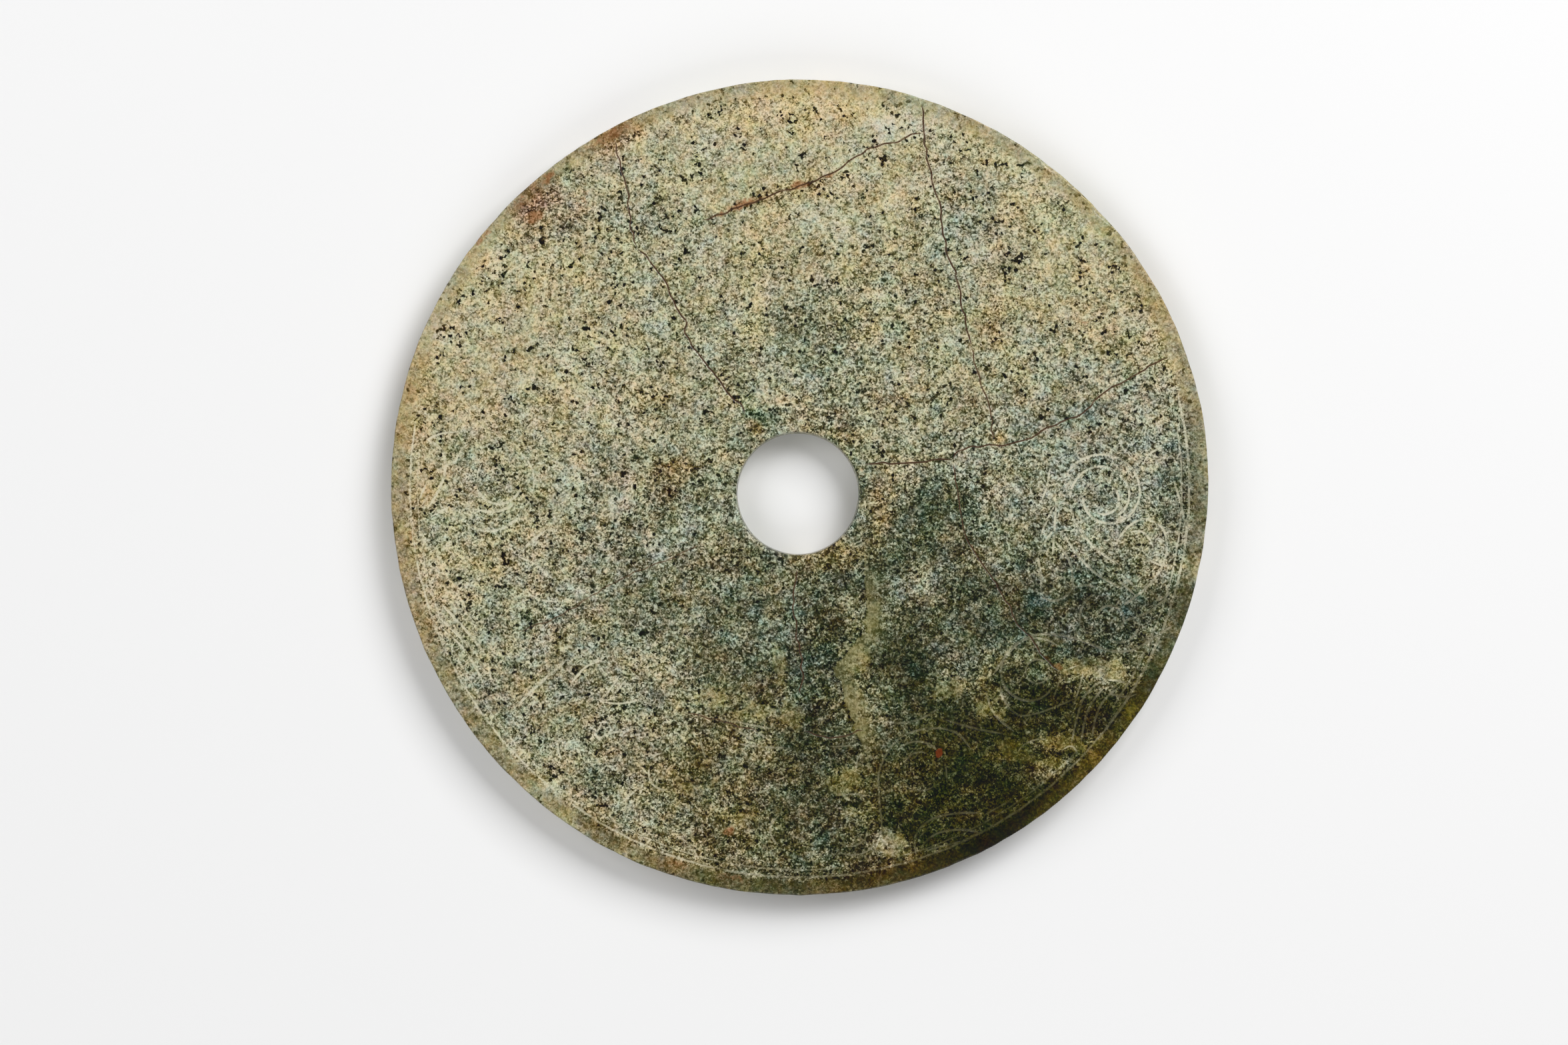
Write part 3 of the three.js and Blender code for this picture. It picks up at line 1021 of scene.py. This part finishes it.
@dataclass(frozen=True)
class JadeFinish:
    """Weathered nephrite: a granular mixture of pale and dark grains over the broad ground colours.

    Attributes:
        darkest: Lightness that the darkest grains come near.
        lightest: Lightness that the palest grains come near.
        spread: How much wider the mixture varies over the disc than its mean lightness alone asks for.
        contrast: How strongly the grain stands out.
        raggedness: How far the edges of the grains are moved about, in millimetres.
        roughness: Roughness of the old polish.
        specular: Strength of the polish's reflections.
        index: Refractive index of nephrite.
        veil: How much grey light the polish sends up, as linear brightness.
        share: How bright the stone is beside the colours given, which are as it looks in strong light.
        bump_height: Height of the finest relief, in metres.
    """

    darkest: float = 5.0
    lightest: float = 90.0
    spread: float = 1.18
    contrast: float = 0.8
    raggedness: float = 0.7
    roughness: float = 0.3
    specular: float = 0.25
    index: float = 1.61
    veil: float = 0.0075
    share: float = 0.9
    bump_height: float = 0.00006

    def tone(self, lightness: np.ndarray) -> np.ndarray:
        """The grain mixture that has a lightness: 0 is an even mixture of pale and dark.

        Args:
            lightness: Mean L of the stone.

        Returns:
            The mixture, as the logit of the share of pale grains.
        """
        share = np.clip((lightness - self.darkest) / (self.lightest - self.darkest), 0.04, 0.96)
        return self.spread * np.log(share / (1 - share))

    def material(self) -> bpy.types.Material:
        """Builds the material.

        Returns:
            The material, which reads the disc's mesh attributes.
        """
        made = bpy.data.materials.new("mottled jade")
        tree = NodeTree(made)
        place = tree.vector("SCALE", tree.out(tree.node("TexCoord"), "Object"), Scale=1 / MM)
        centred = tree.vector("SUBTRACT", tree.noise(place, SHIVER, "Color"), (0.5, 0.5, 0.5))
        ragged = tree.vector("ADD", place, tree.vector("SCALE", centred, Scale=self.raggedness))

        *lab, mixture = self.stone(tree, place, ragged)
        lab = self.stained(tree, ragged, lab)
        *lab, relief = self.scored(tree, place, self.lightness(tree, mixture), lab)

        gloss = self.roughness + (tree.noise(place, POLISH) - 0.5) * 0.22 + relief * 0.2
        height = tree.noise(place, FINE_RELIEF)
        bump = tree.node("Bump", Strength=0.5, Distance=self.bump_height, Height=height)
        tree.surface(
            Base_Color=self.unveiled(tree, tree.lab_colour(lab[0].clipped(4.0, 92.0), *lab[1:])),
            Roughness=gloss.clipped(0.2, 0.9),
            Specular_IOR_Level=self.specular,
            IOR=self.index,
            Normal=tree.out(bump, "Normal"),
        )
        return made

    def lightness(self, tree: NodeTree, tone: Wire) -> Wire:
        """The lightness of a grain mixture, which is given as the logit of its share of pale grains."""
        return self.darkest + (self.lightest - self.darkest) / (1.0 + tree.math("EXPONENT", -tone))

    def unveiled(self, tree: NodeTree, colour: Wire) -> Wire:
        """Takes the grey veil of the polish off a colour, so that dark stone stays dark."""
        bare = tree.vector("SUBTRACT", tree.vector("SCALE", colour, Scale=self.share), (self.veil,) * 3)
        return tree.vector("MAXIMUM", bare, (0.001,) * 3)

    def stone(self, tree: NodeTree, place: Wire, ragged: Wire) -> tuple[Wire, ...]:
        """The stone with its grain, from a centimetre down to a third of a millimetre.

        Args:
            tree: The node tree.
            place: Places in millimetres.
            ragged: The same, moved about so that the grains have ragged edges.

        Returns:
            Lightness, redness and yellowness, and the mixture of grains without the grain itself.
        """
        clump = tree.noise(place, CLUMPS) - 0.5
        grain = (tree.noise(place, CLOUDS) - 0.5) * 6.0 - clump * 1.0
        for size, strength in CRYSTALS:
            crystal = tree.grains(ragged, size) - 0.5
            grain = grain + crystal * strength
        grain = grain + 0.3
        fleck = (tree.grains(ragged, FLECK_SIZE) + clump * 1.9 + crystal * 0.1).ramp(0.96, 8.0)

        # The ground attribute carries the broad colours, painted light at the top and painted shade at the
        # lower right included.
        ground = tree.node("SeparateXYZ", Vector=tree.attribute("ground", "Vector"))
        torn = tree.noise(ragged, TEARS) - 0.5
        shreds = (tree.attribute("shreds") + torn * 1.7).ramp(0.5, 7.0)
        mixture = tree.out(ground, "X") + shreds * 0.75
        busy = 0.6 + tree.noise(place, BUSYNESS) * 0.8
        mixed = grain * (1.08 - mixture * 0.28).clipped(0.7, 1.0) * busy - fleck * (mixture * 1.3 + 3.2)
        smooth = (1.0 - tree.attribute("margin") * 0.6) * (1.0 - shreds * 0.5)
        tone = mixture + mixed * (mixture * 0.14 + self.contrast).clipped(0.55, 0.9) * smooth

        hue = tree.noise(place, HUES) - 0.5
        warmth = tree.noise(tree.vector("ADD", place, (70.0, 0.0, 0.0)), HUES) - 0.5
        redness = tree.out(ground, "Y") * 1.06 + hue * 25.0 + warmth * 9.0 + grain * 0.08
        yellowness = tree.out(ground, "Z") * 1.07 + warmth * 46.0 - grain * 0.1 + shreds * 5.0
        return self.lightness(tree, tone), redness, yellowness, mixture

    def stained(self, tree: NodeTree, ragged: Wire, lab: list[Wire]) -> tuple[Wire, ...]:
        """Adds the crust with the dark gash at its edge, the rust and the inclusion.

        Args:
            tree: The node tree.
            ragged: Places in millimetres, moved about.
            lab: Lightness, redness and yellowness so far.

        Returns:
            The same three, changed.
        """
        inward = tree.attribute("crust") + (tree.noise(ragged, CRUST_EDGE) - 0.5) * 3.2
        crust = (inward * 2.5 + 0.5).clipped() * (1.0 - inward / 7.0).clipped()
        gash = (1.0 - (inward + 0.6) * (inward + 0.6) * 1.6).clipped()
        lightness, *tint = OLIVE_CRUST.over(lab, crust)
        flecks = tree.noise(ragged, RUST_FLECKS) - 0.5
        rust = (tree.attribute("rust") + flecks * 1.3).ramp(0.34, 2.2)
        rusty = RUST_STAIN.over((lightness - gash * 10.0, *tint), rust)
        return RED_INCLUSION.over(rusty, tree.attribute("inclusion").ramp(0.35, 5.0))

    def scored(self, tree: NodeTree, place: Wire, calm: Wire, lab: tuple[Wire, ...]) -> tuple[Wire, ...]:
        """Adds the pale dust in the incised lines and scratches, and the dirt in the cracks and pits.

        Args:
            tree: The node tree.
            place: Places in millimetres.
            calm: Lightness of the stone without its grain.
            lab: Lightness, redness and yellowness so far.

        Returns:
            The same three, changed, and how much of a groove there is.
        """
        broken = tree.noise(place, BREAKS)
        wear = broken.ramp(0.34, 6.0, 0.55) * tree.noise(place, FADES).ramp(0.3, 6.0, 0.75)
        carved = (tree.attribute("carved") * 3.4).clipped() * wear
        scratch = (tree.attribute("scratched") * 2.0).clipped() * wear
        dust = (carved + scratch * 0.55).clipped()
        dusted = calm + tree.math("MINIMUM", (90.0 - calm) * 0.85, calm * 0.45 + 12.0)
        lab = Stain((tree.math("MAXIMUM", dusted, lab[0]), *DUST_TINT), DUST_SHARES).over(lab, dust)

        crack = (tree.attribute("cracked") * 2.6).clipped() * broken.ramp(0.3, 6.0, 0.6)
        pit = (tree.attribute("pitted") * 1.3).clipped()
        dirt = (crack + pit * 0.7).clipped()
        return *DIRT.over(lab, dirt, crack, dirt), dust + dirt


# ------------------------------------------------------------
# The disc


Rings = list[tuple[np.ndarray, np.ndarray]]


def placed(name: str, data: bpy.types.ID) -> bpy.types.Object:
    """Makes an object and puts it in the scene."""
    made = bpy.data.objects.new(name, data)
    bpy.context.scene.collection.objects.link(made)
    return made


@dataclass(frozen=True)
class Chip:
    """A chip in the upper edge of the rim: where it is, how far it reaches and how deep it bites."""

    degrees: float
    half_width: float
    bite: float


CHIPS = (
    Chip(52, 2.4, 0.9), Chip(48, 1.8, 0.6), Chip(42.5, 2.6, 1.1), Chip(41, 1.5, 0.7),
    Chip(121, 3.0, 0.8), Chip(126, 2.0, 0.4), Chip(143, 2.4, 0.7), Chip(147, 1.6, 0.4), Chip(-121, 2, 0.4),
)


@dataclass
class Rim:
    """The hand-ground outer edge.

    Attributes:
        radius: Mean radius of the disc.
        lobes: How it is out of round: number of lobes, height, and angle of one of them.
        rounding: Radius of the worn corner.
        segments: Number of points round it.
    """

    radius: float
    lobes: tuple[tuple[int, float, float], ...] = ((2, 0.28, 35), (4, 0.15, 0), (5, 0.16, 18))
    rounding: float = 0.7
    segments: int = 720

    def reach(self, angle: np.ndarray) -> np.ndarray:
        """The rim's radius at each angle, in millimetres."""
        out = np.full_like(angle, self.radius)
        for lobes, rise, towards in self.lobes:
            out += rise * np.cos(lobes * (angle - math.radians(towards)))
        x, y = around(self.radius, angle).T
        return out + 0.10 * ripple(x, y, 6, 41) + 0.07 * ripple(x, y, 2.4, 42)

    def bitten(self, angle: np.ndarray) -> np.ndarray:
        """How far the chips bite into the upper corner at each angle."""
        out = np.zeros_like(angle)
        for chip in CHIPS:
            away = (np.degrees(angle) - chip.degrees + 180) % 360 - 180
            gone = 1 - (np.radians(away) * self.radius / chip.half_width) ** 2
            out = np.maximum(out, chip.bite * np.sqrt(np.clip(gone, 0, 1)))
        x, y = around(self.radius, angle).T
        return out + 0.55 * np.clip(ripple(x, y, 3.1, 43) - 0.45, 0, 1)

    def rings(self, thickness: float) -> Rings:
        """The edge's rings of points from the carved face to the underside.

        Args:
            thickness: Thickness of the disc.

        Returns:
            Pairs of points in the plane and heights; the first and last lie on the faces.
        """
        angle = np.linspace(0, 2 * math.pi, self.segments, endpoint=False)
        reach, bitten = self.reach(angle), self.bitten(angle)
        x, y = around(self.radius, angle).T
        corner = self.rounding * (1 + 0.35 * ripple(x, y, 9, 44))
        made = []
        for turn in np.radians(np.linspace(0, 90, 6)):
            inset = (corner + 1.2 * bitten) * (1 - math.sin(turn))
            made.append((inset, thickness - (corner + bitten) * (1 - math.cos(turn))))
        for share in (0.3, 0.5, 0.7):
            hollow = 0.10 * ripple(x + 40 * share, y, 5, 45)
            made.append((0.05 + hollow, np.full_like(angle, thickness * (1 - share))))
        for turn in np.radians(np.linspace(90, 0, 5)):
            height = np.full_like(angle, self.rounding * (1 - math.cos(turn)))
            made.append((self.rounding * (1 - math.sin(turn)), height))
        return [(around(reach - inset, angle), height) for inset, height in made]


@dataclass
class Hole:
    """The hole, drilled from both faces so that it narrows to a faint ridge halfway.

    Attributes:
        centre: Its middle, a little off the disc's.
        radius: Radius at the ridge.
        flare: How much wider it is at the faces.
        rounding: Radius of its worn corners.
        segments: Number of points round it.
    """

    centre: Point = (-0.5, -1.7)
    radius: float = 17.8
    flare: float = 0.3
    rounding: float = 0.35
    segments: int = 240

    def rings(self, thickness: float) -> Rings:
        """The wall's rings of points from the carved face to the underside.

        Args:
            thickness: Thickness of the disc.

        Returns:
            Pairs of points in the plane and heights; the first and last lie on the faces.
        """
        angle = np.linspace(0, 2 * math.pi, self.segments, endpoint=False)
        wall = self.radius + self.flare
        steps = [(wall + self.rounding, 0.0), (wall + 0.1, 0.03), (wall, 0.08), (wall - 0.15, 0.25)]
        steps += [(self.radius + 0.04, 0.44), (self.radius, 0.47), (self.radius + 0.05, 0.5)]
        steps += [(wall - 0.1, 0.7), (wall, 0.92), (wall + 0.1, 0.97), (wall + self.rounding, 1.0)]
        made = []
        for radius, share in steps:
            worn = radius + 0.06 * ripple(20 * np.cos(angle), 20 * np.sin(angle) + 9 * share, 4, 51)
            made.append((around(worn, angle, self.centre), np.full_like(angle, thickness * (1 - share))))
        return made


@dataclass
class Face:
    """One flat side of the disc, paved with triangles that follow its lines and pits.

    Attributes:
        outer: Ring of points at the rim.
        inner: Ring of points at the hole.
        lines: Grooves cut into it.
        pits: Small pits: x, y, radius and depth.
        spacing: Size of the triangles away from any line.
        seed: Which random pattern of triangles.
        xy: All points of the face.
        triangles: Triangles between them, by number.
        outer_index: Numbers of the points at the rim.
        inner_index: Numbers of the points at the hole.
        depths: How deep each point lies in the lines of each kind.
    """

    outer: np.ndarray
    inner: np.ndarray
    lines: list[Line]
    pits: np.ndarray
    spacing: float
    seed: int
    xy: np.ndarray = field(init=False)
    triangles: np.ndarray = field(init=False)
    outer_index: list[int] = field(init=False)
    inner_index: list[int] = field(init=False)
    depths: dict[LineKind, np.ndarray] = field(init=False)

    def __post_init__(self) -> None:
        """Paves the face and finds how deep each point lies in the lines."""
        self._points: list[np.ndarray] = []
        self._edges: list[tuple[int, int]] = []
        self._count = 0
        self._ring(self.outer)
        self._ring(self.inner)
        for line in self.lines:
            self._groove(line)
        self._pits()
        self._field()
        self._pave()
        self.depths = {kind: self._scored(kind) for kind in LineKind}

    def _add(self, points: np.ndarray) -> int:
        """Adds points and gives the number of the first."""
        self._points.append(np.asarray(points, float))
        first = self._count
        self._count += len(points)
        return first

    def _ring(self, ring: np.ndarray) -> None:
        """Adds a closed ring of points with its edges."""
        first, count = self._add(ring), len(ring)
        self._edges += [(first + k, first + (k + 1) % count) for k in range(count)]

    def _groove(self, line: Line) -> None:
        """Adds the bed, lips and shoulders of a groove."""
        path = line.laid_out()
        along = np.gradient(path, axis=0)
        side = np.c_[-along[:, 1], along[:, 0]] / np.hypot(*along.T)[:, None]
        lip = line.half_width * np.maximum(line.taper(len(path)), NARROWEST)
        shoulder = lip + SHOULDER
        for k, row in enumerate((-shoulder, -lip, 0 * lip, lip, shoulder)):
            first = self._add(path + row[:, None] * side)
            if 0 < k < 4:
                self._edges += [(first + j, first + j + 1) for j in range(len(path) - 1)]

    def _pits(self) -> None:
        """Adds the middle and the lip of each pit."""
        corners = np.radians(np.arange(0, 360, 60))
        for x, y, radius, _ in self.pits:
            self._add(np.array([[x, y]]))
            self._add(around(radius, corners, (x, y)))

    def _off_middle(self, points: np.ndarray) -> np.ndarray:
        """Distance of points from the middle of the hole."""
        return np.hypot(*(points - self.inner.mean(axis=0)).T)

    def _field(self) -> None:
        """Fills the rest with a shaken triangular grid that keeps clear of the points so far."""
        known = np.vstack(self._points)
        tree = KDTree(len(known))
        for k, (x, y) in enumerate(known):
            tree.insert((x, y, 0), k)
        tree.balance()
        reach, rise = np.hypot(*self.outer.T), self.spacing * math.sqrt(0.75)
        up, across = int(reach.max() / rise), int(reach.max() / self.spacing)
        rows, columns = np.mgrid[-up : up + 1, -across : across + 1]
        x = ((columns + 0.5 * (rows % 2)) * self.spacing).ravel()
        y = (rows * rise).ravel()
        shake = np.random.default_rng(self.seed).uniform(-GRID_SHAKE, GRID_SHAKE, (2, len(x))) * self.spacing
        grid = np.c_[x + shake[0], y + shake[1]]
        inside = np.hypot(*grid.T) < reach.min() - EDGE_GAP
        grid = grid[inside & (self._off_middle(grid) > self._off_middle(self.inner).max() + EDGE_GAP)]
        clear = [p for p in grid if tree.find((p[0], p[1], 0))[2] > GRID_CLEARANCE * self.spacing]
        self._add(np.array(clear))

    def _pave(self) -> None:
        """Triangulates the points and drops what lies in the hole or past the rim."""
        points = [Vector(p) for p in np.vstack(self._points)]
        vertices, _, faces, origins, *_ = delaunay_2d_cdt(points, self._edges, [], 0, 1e-4, True)
        xy, triangles = np.array([tuple(v) for v in vertices]), np.array([tuple(f) for f in faces])
        where = {old: new for new, olds in enumerate(origins) for old in olds}
        centre = xy[triangles].mean(axis=1)
        outer_angle = np.arctan2(self.outer[:, 1], self.outer[:, 0]) % (2 * math.pi)
        order = np.argsort(outer_angle)
        angle = np.arctan2(centre[:, 1], centre[:, 0]) % (2 * math.pi)
        reach = np.interp(angle, outer_angle[order], np.hypot(*self.outer.T)[order], period=2 * math.pi)
        solid = self._off_middle(centre) > self._off_middle(self.inner).min()
        self.xy, self.triangles = xy, triangles[solid & (np.hypot(*centre.T) < reach + 0.01)]
        self.outer_index = [where[k] for k in range(len(self.outer))]
        self.inner_index = [where[len(self.outer) + k] for k in range(len(self.inner))]

    def _scored(self, kind: LineKind) -> np.ndarray:
        """How deep each point lies in the lines of one kind.

        Args:
            kind: Which lines.

        Returns:
            Values from 0 at the lips to 1 in the bed of a line of full weight.
        """
        deep = np.zeros(len(self.xy))
        for line in self.lines:
            if line.kind is not kind:
                continue
            path = line.laid_out()
            full = line.taper(len(path))
            low, high = path.min(axis=0) - 1, path.max(axis=0) + 1
            near = np.flatnonzero(((self.xy > low) & (self.xy < high)).all(axis=1))
            place = self.xy[near]
            for a, b, fa, fb in zip(path[:-1], path[1:], full[:-1], full[1:]):
                close = (np.abs(place - (a + b) / 2) < kind.step).all(axis=1)
                span, spot = b - a, place[close]
                t = np.clip(((spot - a) @ span) / (span @ span), 0, 1)
                gap = np.hypot(*(spot - a - t[:, None] * span).T)
                fullness = np.maximum(fa + (fb - fa) * t, NARROWEST)
                bed = line.weight * fullness * np.clip(1 - gap / (line.half_width * fullness), 0, 1)
                deep[near[close]] = np.maximum(deep[near[close]], bed)
        return deep

    def pitted(self) -> np.ndarray:
        """How deep each point lies in a pit, from 0 to 1."""
        deep = np.zeros(len(self.xy))
        for x, y, radius, depth in self.pits:
            gap = np.hypot(*(self.xy - (x, y)).T) / radius
            deep = np.maximum(deep, depth * np.clip(1 - gap * gap, 0, 1))
        return deep


@dataclass
class BiDisc:
    """The disc itself.

    Attributes:
        low: Lowest corner of the solid's box, in metres.
        high: Highest corner of the solid's box, in metres.
        pit_depth: Depth of the deepest pits.
        swell: Height of the slow undulation of the ground faces.
        crust_step: How far the stone beside the crust under the hole lies lower than the crust.
        plain: Colour that the underside tends to.
        plainness: How far it tends to it, from 0 to 1.
        rim_tint: How the colour changes at the rim.
        border_radius: Radius at which the border sets off the rim.
        ground: The broad colours of the stone.
        finish: The stone's finish.
    """

    low: Vector
    high: Vector
    pit_depth: float = 0.22
    swell: float = 0.16
    crust_step: float = 0.1
    plain: Lab = (54.0, -4.2, 15.0)
    plainness: float = 0.45
    rim_tint: Lab = (-2.0, 0.7, 1.8)
    border_radius: float = 114.6
    ground: Ground = field(default_factory=Ground)
    finish: JadeFinish = field(default_factory=JadeFinish)

    @property
    def thickness(self) -> float:
        """Thickness in millimetres."""
        return (self.high[2] - self.low[2]) / MM

    def carving(self) -> list[Line]:
        """Every line on the carved face."""
        parts = (Border(), RIGHT_BEAST, LOWER_RIGHT_BEAST, LOWER_BEAST, LEFT_BEAST, Cracks(), Scratches())
        made = [line for part in parts for line in part.lines()]
        log.info("carved face: %d lines", len(made))
        return made

    @staticmethod
    def pits(count: int, seed: int) -> np.ndarray:
        """Scatters small pits over a face.

        Args:
            count: How many.
            seed: Which scatter.

        Returns:
            Rows of x, y, radius and depth share.
        """
        rng = np.random.default_rng(seed)
        reach, angle = np.sqrt(rng.uniform(0.03, 0.88, count)) * 120, rng.uniform(0, 2 * math.pi, count)
        size = rng.uniform(0.22, 0.5, count)
        return np.c_[around(reach, angle), size, rng.uniform(0.3, 1, count)]

    def build(self) -> bpy.types.Object:
        """Makes the disc.

        Returns:
            The finished object.
        """
        radius = (self.high[0] - self.low[0] + self.high[1] - self.low[1]) / 4 / MM - 0.15
        rim_rings, hole_rings = Rim(radius).rings(self.thickness), Hole().rings(self.thickness)
        top = Face(rim_rings[0][0], hole_rings[0][0], self.carving(), self.pits(260, 3), 1.25, 61)
        under = Face(rim_rings[-1][0], hole_rings[-1][0], Cracks().through(), self.pits(90, 4), 2.6, 62)
        places = [self.carved_side(top), self.plain_side(under)]
        count = len(top.xy) + len(under.xy)
        triangles = [top.triangles, under.triangles[:, ::-1] + len(top.xy)]
        for rings, first, last, outward in (
            (rim_rings, top.outer_index, under.outer_index, True),
            (hole_rings, top.inner_index, under.inner_index, False),
        ):
            index = [np.array(first)]
            for plane, height in rings[1:-1]:
                places.append(np.c_[plane, height])
                index.append(count + np.arange(len(plane)))
                count += len(plane)
            index.append(np.array(last) + len(top.xy))
            triangles += [self.band(a, b, outward) for a, b in zip(index[:-1], index[1:])]
        return self.dressed(np.vstack(places), np.vstack(triangles), top, under)

    def carved_side(self, face: Face) -> np.ndarray:
        """Points of the carved face, with its grooves, pits and undulation."""
        x, y = face.xy.T
        fall = self.swell * (0.5 + 0.5 * ripple(x, y, 38, 71)) + 0.03 * (1 + ripple(x, y, 4, 72))
        for kind in LineKind:
            fall += kind.depth * face.depths[kind]
        fall += self.pit_depth * face.pitted()
        inward = self.ground.crust(x, y)
        fall += self.crust_step * (np.clip(-inward + 0.5, 0, 1) * (np.abs(inward) < 8))
        return np.c_[x, y, self.thickness - fall]

    def plain_side(self, face: Face) -> np.ndarray:
        """Points of the plain underside, which stays on the ground."""
        x, y = face.xy.T
        rise = 0.5 * self.swell * (1 + ripple(x, y, 34, 73)) * np.clip((114 - np.hypot(x, y)) / 20, 0, 1)
        rise += LineKind.CRACK.depth * face.depths[LineKind.CRACK] + self.pit_depth * face.pitted()
        return np.c_[x, y, rise]

    @staticmethod
    def band(upper: np.ndarray, lower: np.ndarray, outward: bool) -> np.ndarray:
        """Triangles between two rings with as many points.

        Args:
            upper: Numbers of the upper ring's points.
            lower: Numbers of the lower ring's points.
            outward: True if the band faces away from the middle of the ring.

        Returns:
            The triangles.
        """
        a, b, c, d = upper, np.roll(upper, -1), lower, np.roll(lower, -1)
        made = np.vstack([np.c_[a, c, b], np.c_[b, c, d]])
        return made if outward else made[:, ::-1]

    def dressed(self, places: np.ndarray, triangles: np.ndarray, top: Face, under: Face) -> bpy.types.Object:
        """Makes the mesh, writes its attributes and gives it the finish.

        Args:
            places: Points in millimetres.
            triangles: Their triangles.
            top: The carved face.
            under: The underside.

        Returns:
            The object.
        """
        mesh = bpy.data.meshes.new("bi_disc_stone")
        mesh.from_pydata((places * MM).tolist(), [], triangles.tolist())
        mesh.validate()
        mesh.shade_smooth()
        x, y, z = places.T
        out, upper = np.hypot(x, y), z > 0.5 * self.thickness
        backward = np.clip(1.1 - z / (0.8 * self.thickness), 0, 1)
        # Broad colours of the stone, with painted light towards the top and painted shade towards the lower
        # right.
        lab = self.ground.colours(x, y)
        lab += self.plainness * backward[:, None] * (np.array(self.plain) - lab)
        lab += np.clip((out - self.border_radius + 1) / 2.5, 0, 1)[:, None] * np.array(self.rim_tint)
        self.write(mesh, "ground", np.c_[self.finish.tone(lab[:, 0]), lab[:, 1:]], "FLOAT_VECTOR", "vector")
        levels = {
            "rust": self.ground.rust(x, y) * (1 - 0.6 * backward),
            "inclusion": INCLUSION.cover(x, y, SPOT_CORE) * upper,
            "crust": np.where(upper, self.ground.crust(x, y), -self.ground.crust_reach),
            "shreds": strongest(CRUSTS, x, y, SPOT_CORE) * upper,
            "margin": np.clip((out - self.border_radius) / 1.6, 0, 1),
        }
        spare = np.zeros(len(places) - len(top.xy) - len(under.xy))
        names = {LineKind.INCISED: "carved", LineKind.CRACK: "cracked", LineKind.SCRATCH: "scratched"}
        for kind, name in names.items():
            levels[name] = np.r_[top.depths[kind], under.depths[kind], spare]
        levels["pitted"] = np.r_[top.pitted(), under.pitted(), spare]
        for name, values in levels.items():
            self.write(mesh, name, values, "FLOAT", "value")
        mesh.materials.append(self.finish.material())
        made = placed("bi_disc_stone", mesh)
        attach(made, "root")
        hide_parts("bi_disc")
        log.info("bi_disc_stone: %d triangles", len(mesh.polygons))
        return made

    @staticmethod
    def write(mesh: bpy.types.Mesh, name: str, values: np.ndarray, kind: str, member: str) -> None:
        """Writes a value for each point of a mesh as an attribute."""
        made = mesh.attributes.new(name, kind, "POINT")
        made.data.foreach_set(member, np.ascontiguousarray(values, dtype=np.float32).ravel())


# ------------------------------------------------------------
# Studio


@dataclass
class Studio:
    """A plain pale floor, soft light and a camera that looks straight down on the disc.

    Attributes:
        lens: Focal length in millimetres.
        sensor: Width of the sensor in millimetres.
        frame_width: Width of what the camera sees at the carved face, in metres.
        aim: The point of the carved face under the camera, in metres.
        floor_size: Length of the floor's side, in metres.
        daylight: Strength of the white light from all round.
    """

    lens: float = 100.0
    sensor: float = 36.0
    frame_width: float = 0.4612
    aim: Point = (-0.0046, -0.0102)
    floor_size: float = 6.0
    daylight: float = 0.16

    def floor(self) -> None:
        """Lays the floor."""
        half = self.floor_size / 2
        corners = [(-half, -half, 0), (half, -half, 0), (half, half, 0), (-half, half, 0)]
        mesh = bpy.data.meshes.new("studio_floor")
        mesh.from_pydata(corners, [], [(0, 1, 2, 3)])
        paper = bpy.data.materials.new("pale paper")
        NodeTree(paper).surface(Base_Color=(0.93, 0.93, 0.93, 1), Roughness=0.9, Specular_IOR_Level=0.1)
        mesh.materials.append(paper)
        floor = placed("studio_floor", mesh)

    def lamp(self, name: str, place: tuple[float, float, float], size: float, watts: float) -> None:
        """Hangs a square soft box that faces the disc.

        Args:
            name: Name of the lamp.
            place: Where it hangs, in metres.
            size: Length of its side, in metres.
            watts: Its power.
        """
        light = bpy.data.lights.new(name, "AREA")
        light.shape, light.size, light.energy = "SQUARE", size, watts
        made = placed(name, light)
        made.location = place
        made.rotation_euler = (-Vector(place)).to_track_quat("-Z", "Y").to_euler()

    def camera(self, face_height: float) -> None:
        """Sets up the camera over a carved face at a height in metres."""
        data = bpy.data.cameras.new("camera")
        data.lens, data.sensor_width, data.clip_end = self.lens, self.sensor, 20
        made = placed("camera", data)
        made.location = (*self.aim, face_height + self.frame_width * self.lens / self.sensor)
        bpy.context.scene.camera = made

    def build(self, face_height: float) -> None:
        """Builds the studio.

        Args:
            face_height: Height of the carved face, in metres.
        """
        self.floor()
        self.camera(face_height)
        self.lamp("key", (1.1, 1.2, 1.6), 1.3, 41)
        self.lamp("fill", (-1.3, 0.5, 1.4), 1.2, 12)
        self.lamp("low fill", (0.1, -1.5, 1.2), 1.2, 9)
        world = bpy.data.worlds.new("studio")
        world.use_nodes = True
        background = world.node_tree.nodes["Background"].inputs
        background["Color"].default_value = (1, 1, 1, 1)
        background["Strength"].default_value = self.daylight
        bpy.context.scene.world = world
        bpy.context.scene.view_settings.view_transform = "Standard"
        log.info("studio: floor, camera and three soft boxes")


def main() -> None:
    """Builds the disc and the studio round it."""
    logging.basicConfig(level=logging.INFO, format="%(name)s: %(message)s", stream=sys.stdout)
    low, high = (Vector(corner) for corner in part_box("bi_disc"))
    BiDisc(low, high).build()
    Studio().build(high[2])
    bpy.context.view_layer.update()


if __name__ == "__main__":
    main()
